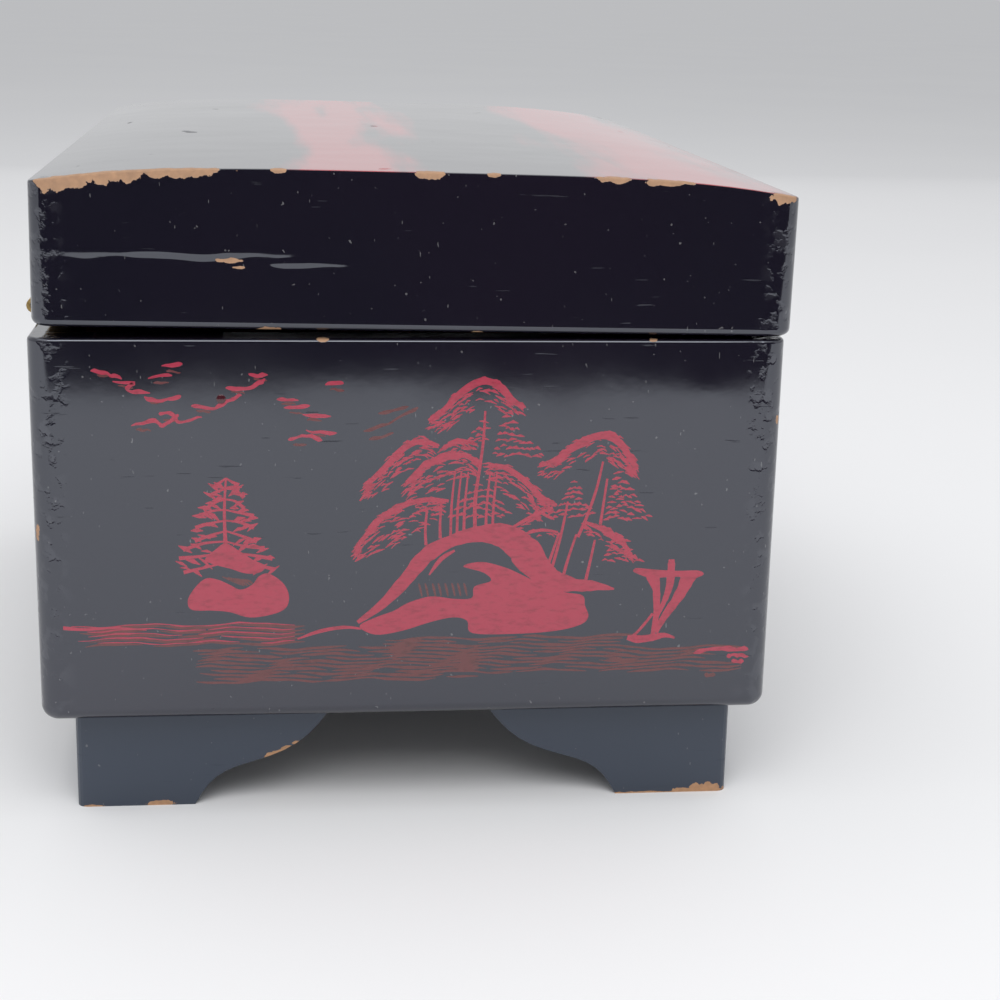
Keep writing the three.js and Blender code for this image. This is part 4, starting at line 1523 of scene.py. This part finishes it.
@dataclass
class EndPainting:
    """The traditional shore scene on the end panel: pines on two islets, a boat, clouds and water."""

    def build(self, crimson: bpy.types.Material, thin: bpy.types.Material) -> None:
        """Paints the scene.

        Args:
            crimson: The full paint.
            thin: The same paint brushed out thin.
        """
        face = node_box("left_end_wall")[0].x
        middle = (node_box("front_wall")[0].y + node_box("back_wall")[1].y) / 2 / MM
        self.bold = Brush("shore_painting", face, middle, seed=11)
        self.faint = Brush("water_painting", face, middle, seed=7, base_lift=0.0084)
        self.large_islet()
        self.small_islet()
        self.pines()
        self.boat()
        self.clouds()
        self.water()
        self.bold.piece(crimson)
        self.faint.piece(thin)

    def large_islet(self) -> None:
        """Paints the large islet: a ridge that sweeps round an open fold, and the shore below it."""
        self.bold.stroke(
            [(-11.2, 42.2), (-6.2, 46.0), (-1.6, 51.0), (2.6, 56.2), (7.4, 59.2), (13, 60.8), (18.4, 60.5),
             (22.4, 57.8), (25.2, 54.2), (28.8, 51.0), (33.6, 49.7), (38, 49.4), (42, 48.7)],
            [0.8, 1.9, 2.8, 3.2, 2.7, 3.5, 5.0, 6.2, 6.0, 4.4, 2.9, 2.0, 0.4], 5,
        )
        self.bold.stroke([(3.4, 52.2), (5.8, 55.6), (8.6, 57.4)], [0.3, 1.0, 0.5])
        self.bold.patch([
            (-10.8, 41.4), (-7.6, 43.2), (-3.8, 44.6), (-0.8, 46.3), (3.8, 47.6), (8.8, 47.0), (12.3, 47.2),
            (12.8, 49.6), (16.2, 50.8), (14.6, 52.6), (10.4, 54.0), (14.2, 54.9), (19.2, 53.6), (23, 51.8),
            (27, 49.8), (31.4, 48.2), (35.4, 47.4), (36.0, 45.2), (36.8, 42.8), (35.2, 41.0), (29.8, 39.7),
            (21.6, 39.2), (12.6, 39.5), (11.4, 42.2), (8.6, 43.0), (4, 42.1), (-2.2, 40.2), (-7.6, 39.5),
        ])
        for along in (1.6, 2.9, 4.4, 5.6, 7.0, 8.4, 9.6, 10.9):
            self.faint.stroke([(along - 0.3, 50.4), (along, 49.4), (along + 0.4, 47.6)], [0.25, 0.5, 0.3])

    def small_islet(self) -> None:
        """Paints the small islet and the open pine that covers it."""
        self.bold.patch([
            (-45.6, 47.4), (-44.2, 50.0), (-42.0, 52.0), (-39.6, 51.8), (-37.4, 50.8), (-35.0, 49.6),
            (-32.6, 50.6), (-31.2, 52.4), (-29.2, 52.9), (-26.4, 50.9), (-25.2, 48.2), (-25.8, 45.6),
            (-28.6, 44.2), (-33.2, 43.6), (-37.2, 44.8), (-40.8, 45.2), (-44.8, 45.4),
        ])
        self.bold.patch([
            (-42.0, 56.0), (-39.8, 58.2), (-37.8, 59.4), (-35.4, 58.0), (-32.6, 56.0), (-30.0, 54.6),
            (-31.0, 53.2), (-33.8, 53.0), (-36.8, 54.0), (-39.6, 54.8),
        ])
        for shift in (0.0, 1.1, 2.2, 3.2):
            fold = [(-38.6 + shift, 52.4 - shift * 0.2), (-36.4 + shift, 51.4), (-34.2 + shift * 0.6, 50.4)]
            self.faint.stroke(fold, [0.2, 0.5, 0.2])
        self.faint.stroke([(-44.6, 48.4), (-42.4, 49.4), (-40.0, 49.6)], [0.2, 0.45, 0.2])
        self.bold.stroke([(-37.6, 72.8), (-38.0, 66), (-37.8, 57)], [0.4, 0.6, 0.9])
        self.bold.boughs((-37.6, 73.4), (-37.8, 53.6), 10.8, 9)

    def pines(self) -> None:
        """Paints the pines of the large islet: trunks, umbrella caps and layered levels."""
        trunks = (
            [(14.3, 86.6), (14.0, 80), (13.3, 74), (12.6, 68), (12.7, 61)],
            [(38.7, 76), (37.5, 70), (35.6, 64), (34.0, 60)],
            [(39.7, 72.4), (39.1, 67), (38.6, 62.6)],
            [(31.7, 67.6), (30.4, 60), (28.6, 52.6)],
            [(33.7, 60.6), (32.3, 56), (31.2, 51.6)],
            [(37.6, 59.4), (36.8, 55), (36.0, 50.8)],
            [(30.1, 61), (28.9, 57), (27.8, 53.4)],
            [(2.8, 66), (2.5, 62), (2.7, 58.6)],
            [(5.7, 67.4), (5.5, 63), (5.6, 60)],
        )
        for path in trunks:
            self.bold.stroke(path, [0.45 + 0.1 * i for i in range(len(path))])
        for foot in (7.7, 9.0, 10.4, 14.9, 16.3):
            self.bold.stroke([(foot + 0.7, 74), (foot + 0.1, 67), (foot, 60.4)], [0.35, 0.5, 0.6])
        caps = (
            ([(2.9, 84.6), (6.2, 87.0), (9.4, 90.4), (13.4, 92.7), (17.0, 91.8), (19.6, 89.0),
              (22.2, 87.2)], 2.5, 5.2, 60),
            ([(25.6, 75.2), (29.2, 76.5), (33.0, 79.4), (38.2, 81.5), (42.0, 79.9), (44.2, 76.8),
              (45.8, 74.2)], 2.6, 4.8, 60),
            ([(-10.0, 70.8), (-5.8, 75.0), (-2.0, 79.0), (1.4, 80.4), (5.0, 79.4)], 2.3, 4.6, 46),
            ([(-1.4, 71.8), (2.0, 75.2), (6.4, 77.0), (10.4, 77.4), (13.4, 75.4)], 2.1, 5.6, 64),
            ([(-11.6, 57.9), (-7.6, 63.2), (-2.6, 66.8), (2.6, 68.2), (7.2, 67.9)], 2.0, 6.6, 74),
            ([(6.2, 79.0), (8.8, 80.6), (12.8, 79.6)], 1.4, 2.2, 14),
            ([(15.2, 75.4), (18.8, 74.8), (22.6, 72.2), (26.0, 68.6), (29.4, 66.8)], 1.9, 5.8, 64),
            ([(20.4, 62.2), (24.4, 64.5), (28.6, 66.4)], 1.5, 1.4, 8),
            ([(23.0, 60.8), (26.4, 61.6), (29.8, 61.1)], 1.1, 0.8, 4),
            ([(35.4, 63.2), (39.8, 61.2), (43.2, 58.9), (45.6, 55.4)], 1.8, 2.8, 26),
        )
        for path, heavy, hang, needles in caps:
            self.bold.cap(path, heavy, hang, needles)
        clumps = (
            ((18.2, 85.8), 16.2, 26.0, 76.8),
            ((13.6, 84.4), 10.8, 14.2, 80.2),
            ((12.6, 71.4), 7.2, 19.8, 64.6),
            ((41.4, 73.4), 39.6, 48.2, 63.8),
            ((32.6, 72.0), 28.4, 36.2, 63.6),
            ((41.8, 60.4), 39.4, 46.6, 54.6),
        )
        for tip, left, right, foot in clumps:
            self.bold.clump(tip, left, right, foot)

    def boat(self) -> None:
        """Paints the sailing boat: its yard, masthead, sail in bands, and hull."""
        self.bold.patch([
            (45.9, 52.5), (46.6, 53.2), (49.6, 52.9), (54.8, 52.5), (59.6, 52.5), (60.8, 51.6), (58.6, 50.8),
            (55, 51.2), (50, 51.0), (47.4, 51.7),
        ])
        self.bold.stroke([(53.9, 52), (53.9, 54.0), (53.9, 55.0)], [1.4, 1.5, 1.1])
        bands = (
            ([(50.0, 51.6), (50.9, 48.7), (51.1, 46.2), (51.2, 43.2), (50.8, 40.2), (50.6, 38.2)],
             [2.8, 1.7, 1.5, 1.3, 1.0, 1.1]),
            ([(50.4, 43.2), (49.1, 41.4), (47.4, 39.3), (46.3, 38.2)], [0.6, 0.6, 0.6, 0.7]),
            ([(53.9, 51.6), (53.7, 49.2), (53.0, 46.6), (51.9, 43.8), (51.4, 42.4)],
             [1.7, 1.5, 1.2, 0.8, 0.5]),
            ([(57.7, 51.6), (56.7, 48.8), (55.2, 46.0), (53.6, 43.6), (52.2, 41.2), (51.2, 39.0)],
             [3.4, 2.6, 2.0, 1.7, 1.3, 1.0]),
            ([(45.2, 38.0), (47.5, 37.6), (50.5, 37.9), (53, 38.4), (55.3, 37.8)], [1.0, 1.7, 1.5, 1.1, 0.4]),
        )
        for path, widths in bands:
            self.bold.stroke(path, widths, 4)

    def clouds(self) -> None:
        """Paints the drifting clouds as thin zigzags."""
        drifts = (
            [(-63.4, 94.8), (-60.4, 94.2), (-57.6, 93.2)],
            [(-59.2, 92.6), (-55.2, 92.3), (-56.6, 90.9), (-52.0, 90.5)],
            [(-49.8, 95.6), (-45.6, 96.2)],
            [(-52.4, 93.4), (-47.8, 94.0)],
            [(-53.4, 89.5), (-49.8, 88.8), (-46.0, 89.7)],
            [(-56.0, 83.9), (-51.2, 84.6), (-49.8, 83.8), (-46.6, 86.0)],
            [(-50.6, 85.9), (-48.2, 86.2), (-46.2, 84.4), (-42.2, 85.6)],
            [(-44.2, 87.7), (-39.6, 87.4), (-36.8, 88.8), (-34.2, 90.0)],
            [(-37.4, 91.4), (-33.2, 91.2), (-29.6, 93.2)],
            [(-33.0, 94.0), (-29.2, 93.8)],
            [(-27.4, 89.2), (-23.2, 88.7)],
            [(-26.0, 87.3), (-20.8, 87.7)],
            [(-22.4, 85.8), (-16.6, 85.4)],
            [(-17.8, 92.0), (-14.0, 92.4)],
            [(-25.2, 80.9), (-21.4, 81.6), (-18.4, 80.5)],
            [(-21.6, 82.6), (-15.6, 82.0)],
        )
        for path in drifts:
            self.bold.drift(path, 0.75)
            a, u = path[0]
            self.faint.drift([(a + 1, u - 0.9), (a + 3.8, u - 1.1)], 0.5)
        distant = (
            [(-10, 82.4), (-5, 84.2), (0.8, 87.4)],
            [(-7.2, 86.0), (-1.2, 87.7)],
            [(-9, 80.9), (-4, 82)],
        )
        for path in distant:
            self.faint.drift(path, 0.7)

    def water(self) -> None:
        """Paints the ripples round the islets and below the boat."""
        self.bold.stroke([(-70.6, 41.9), (-66, 41.5), (-60, 41.8), (-54, 41.2)], [0.8, 0.6, 0.4, 0.2])
        self.bold.stroke([(-23.5, 38.8), (-19, 40.4), (-14, 41.2), (-10.4, 40.8)], [0.3, 0.8, 0.7, 0.4])
        self.bold.drift([(59.6, 34.4), (65.6, 35.2), (71.4, 34.9)], 1.0)
        self.bold.drift([(66.6, 33.5), (69.0, 33.7), (71.3, 33.4)], 1.0)
        self.bold.drift([(67.8, 32.3), (70.4, 32.1)], 0.9)
        self.faint.drift([(62.0, 29.4), (64.4, 29.2)], 0.8)
        self.bold.ripples(-69, -24, 42.2, 38.4, 5, 0.3)
        self.faint.ripples(-68, -22, 41.8, 38.0, 5, 0.5)
        self.faint.ripples(-46, 14, 36.8, 29.8, 10, 0.55)
        self.faint.ripples(-6, 48, 38.4, 31.0, 11, 0.5)
        self.faint.ripples(40, 70, 35.6, 30.6, 7, 0.5)


@dataclass
class Blister:
    """A small bubble that rose in the end panel's lacquer."""

    along: float = -38.3
    up: float = 89.1
    radius: float = 0.95
    rise: float = 0.25

    def build(self, lacquer: bpy.types.Material) -> None:
        """Models the bubble.

        Args:
            lacquer: Its lacquer.
        """
        face = node_box("left_end_wall")[0].x
        middle = (node_box("front_wall")[0].y + node_box("back_wall")[1].y) / 2
        clear_selection()
        place = (face, middle - self.along * MM, self.up * MM)
        bpy.ops.mesh.primitive_uv_sphere_add(
            segments=24, ring_count=12, radius=self.radius * MM, location=place
        )
        bubble = bpy.context.object
        bubble.scale = (self.rise / self.radius, 1, 1)
        settle(bubble, "lacquer_blister")
        smooth(bubble, 60)
        finish_piece(bubble, lacquer, Slot.LACQUER, "case")


@dataclass
class Finishes:
    """Every material of the object, each built once."""

    made: dict[Slot, bpy.types.Material] = field(default_factory=dict)

    def build(self) -> None:
        """Builds the finishes of the record's slots."""
        self.made = {
            Slot.LACQUER: Lacquer("black_lacquer_finish").build(),
            Slot.SATIN: self.satin("satin_lacquer_finish"),
            Slot.WOOD: Wood("bare_wood_finish").build(),
            Slot.VELVET: Cloth("red_velvet_finish").build(),
            Slot.BRASS: Metal("brass_finish", (0.72, 0.5, 0.2), (0.42, 0.26, 0.1)).build(),
            Slot.STEEL: Metal("steel_finish", (0.58, 0.58, 0.6), (0.36, 0.35, 0.34)).build(),
            Slot.COVER: Clear("clear_cover_finish", (0.93, 0.96, 0.97), 0.03, transmission=0.95).build(),
            Slot.MIRROR: Clear("mirror_finish", (0.9, 0.92, 0.93), 0.01, metallic=1.0).build(),
            Slot.FAN: Clear("fan_plastic_finish", (0.72, 0.68, 0.56), 0.4).build(),
        }

    def satin(self, name: str, chips: tuple[Chip, ...] = ()) -> bpy.types.Material:
        """Builds the feet's satin lacquer.

        Args:
            name: The material's name.
            chips: Where it has come off.

        Returns:
            The material.
        """
        dark, blue = (0.024, 0.032, 0.048), (0.03, 0.04, 0.062)
        return Lacquer(name, dark, blue, roughness=0.32, index=1.68, chips=chips).build()

    def dress_frame(self) -> None:
        """Gives every CAD node the finish of its slot, but the two worn feet and the bottom board finishes of
        their own.
        """
        slots = {entry["node"]: entry["material_slot"] for entry in frame["record"]["subparts"]}
        worn = {
            "left_end_back_bracket": self.satin("worn_back_foot", BACK_FOOT_CHIPS),
            "left_end_front_bracket": self.satin("worn_front_foot", FRONT_FOOT_CHIPS),
            "bottom_board": Wood("stained_wood_finish", (0.09, 0.09, 0.1), (0.05, 0.048, 0.05)).build(),
        }
        for name, piece in frame["nodes"].items():
            material = worn.get(name, self.made[Slot(slots[name])])
            if piece.material_slots:
                for holder in piece.material_slots:
                    holder.material = material
            else:
                piece.data.materials.append(material)


# Wear, in millimetres on the left end: along is from the middle towards the front, as in the painting

END = -115.0
FOOT_FACE = -108.7
BODY_MIDDLE = -1.09


def end_chip(
    along: float, up: float, reach: float, tall: float, face: float = END, deep: float = 2.5
) -> Chip:
    """Places one chip on the end of the box.

    Args:
        along: Its middle from the box's middle towards the front.
        up: Its height.
        reach: Half its length.
        tall: Half its height.
        face: The face's X.
        deep: How far it reaches inwards.

    Returns:
        The chip.
    """
    return Chip((face, BODY_MIDDLE - along, up), (deep, reach, tall))


def lid_edge(along: float) -> float:
    """Gives the height of the lid's top edge at a place on its end."""
    lid = LidShell()
    placing = lid.placing()
    across = (BODY_MIDDLE - along) * MM - placing.translation.y
    return (placing @ Vector((0, across, lid.top_height(across)))).z / MM


LID_CHIPS = tuple(
    end_chip(along, lid_edge(along) - 0.2, reach, tall)
    for along, reach, tall in (
        (-69, 6, 2.4), (-60, 8, 1.8), (-47, 9, 1.4), (-26.4, 1.6, 0.6), (2.6, 3.0, 1.1), (15.2, 1.4, 0.5),
        (39.3, 3.4, 0.9), (50.2, 4.8, 0.8), (74, 3.2, 1.6), (-75.4, 1.4, 1.6),
    )
) + (
    end_chip(-36.2, 116.6, 2.3, 0.5),
    end_chip(-34.6, 115.2, 1.2, 0.35),
    end_chip(-28.8, 103.0, 2.2, 0.6),
    end_chip(12.4, 102.3, 1.4, 0.4),
)
BODY_CHIPS = (
    end_chip(-18.4, 101.1, 1.3, 0.5),
    end_chip(48.0, 101.1, 0.9, 0.4),
    end_chip(-75.4, 62.0, 0.8, 2.6),
    end_chip(75.3, 84.0, 0.7, 1.4),
)
LID_RIDGES = (
    end_chip(-45, 118.4, 26, 1.8),
    end_chip(-21, 116.2, 9, 1.2),
)
BACK_FOOT_CHIPS = (
    end_chip(-29.0, 10.5, 1.5, 0.8, FOOT_FACE),
    end_chip(-27.2, 11.2, 1.6, 0.7, FOOT_FACE),
    end_chip(-25.2, 12.2, 1.6, 0.6, FOOT_FACE),
    end_chip(-23.4, 13.4, 1.3, 0.5, FOOT_FACE),
    end_chip(-66.4, 0.1, 1.8, 0.4, FOOT_FACE),
    end_chip(-51.8, 0.4, 3.4, 0.7, FOOT_FACE),
)
FRONT_FOOT_CHIPS = (
    end_chip(65.0, 0.5, 4.0, 1.5, FOOT_FACE),
    end_chip(60.5, 0.3, 3.0, 0.7, FOOT_FACE),
    end_chip(52.0, 0.0, 9.0, 0.35, FOOT_FACE),
)


def build_movement_details(steel: bpy.types.Material) -> None:
    """Adds the screws that hold the bedplate and the comb.

    Args:
        steel: Their metal.
    """
    low, high = (corner / MM for corner in node_box("bedplate"))
    inset = 4.5
    corners = (
        (low.x, low.y, 1, 1), (high.x, low.y, -1, 1), (low.x, high.y, 1, -1), (high.x - 14, high.y, 0, -1),
    )
    bed = tuple((x + a * inset, y + b * inset, high.z + 0.5) for x, y, a, b in corners)
    Screws("bedplate_screws", 2.1 * MM, 1.0 * MM, bed).build(steel, "case")
    low, high = (corner / MM for corner in node_box("comb_block"))
    comb_top = node_box("comb")[1].z / MM
    base = low.y + 3.8
    comb = tuple((low.x + share * (high.x - low.x), base, comb_top + 0.45) for share in (0.27, 0.73))
    Screws("comb_screws", 1.9 * MM, 0.9 * MM, comb).build(steel, "case")


def main() -> None:
    """Builds the studio and every piece in order."""
    logging.basicConfig(level=logging.INFO)
    Studio().build()
    finishes = Finishes()
    finishes.build()
    finishes.dress_frame()
    velvet, steel = finishes.made[Slot.VELVET], finishes.made[Slot.STEEL]
    lid = LidShell()
    half_length, half_depth = lid.half_length / MM, lid.half_depth / MM
    case_corner = (half_length, half_depth, BODY_MIDDLE)
    case_lacquer = Lacquer("case_lacquer", chips=BODY_CHIPS, corner=case_corner).build()
    lid_corner = (half_length, half_depth, BODY_MIDDLE - 1)
    bands = ((10.6, 18), (-58, 24))
    lid_lacquer = Lacquer(
        "lid_lacquer", chips=LID_CHIPS, ridges=LID_RIDGES, corner=lid_corner, red_bands=bands
    ).build()
    CaseShell().build(case_lacquer, velvet)
    lid.build(lid_lacquer, velvet)
    MirrorSurround().build(velvet, lid.placing())
    TrayCushions().build(velvet)
    FloorPads().build(velvet)
    build_movement_details(steel)
    crimson = Paint("crimson_paint", (0.38, 0.026, 0.059)).build()
    thin = Paint("thin_crimson_paint", (0.125, 0.028, 0.03)).build()
    EndPainting().build(crimson, thin)
    Blister().build(Paint("blister_paint", (0.06, 0.008, 0.014)).build())


if __name__ == "__main__":
    main()
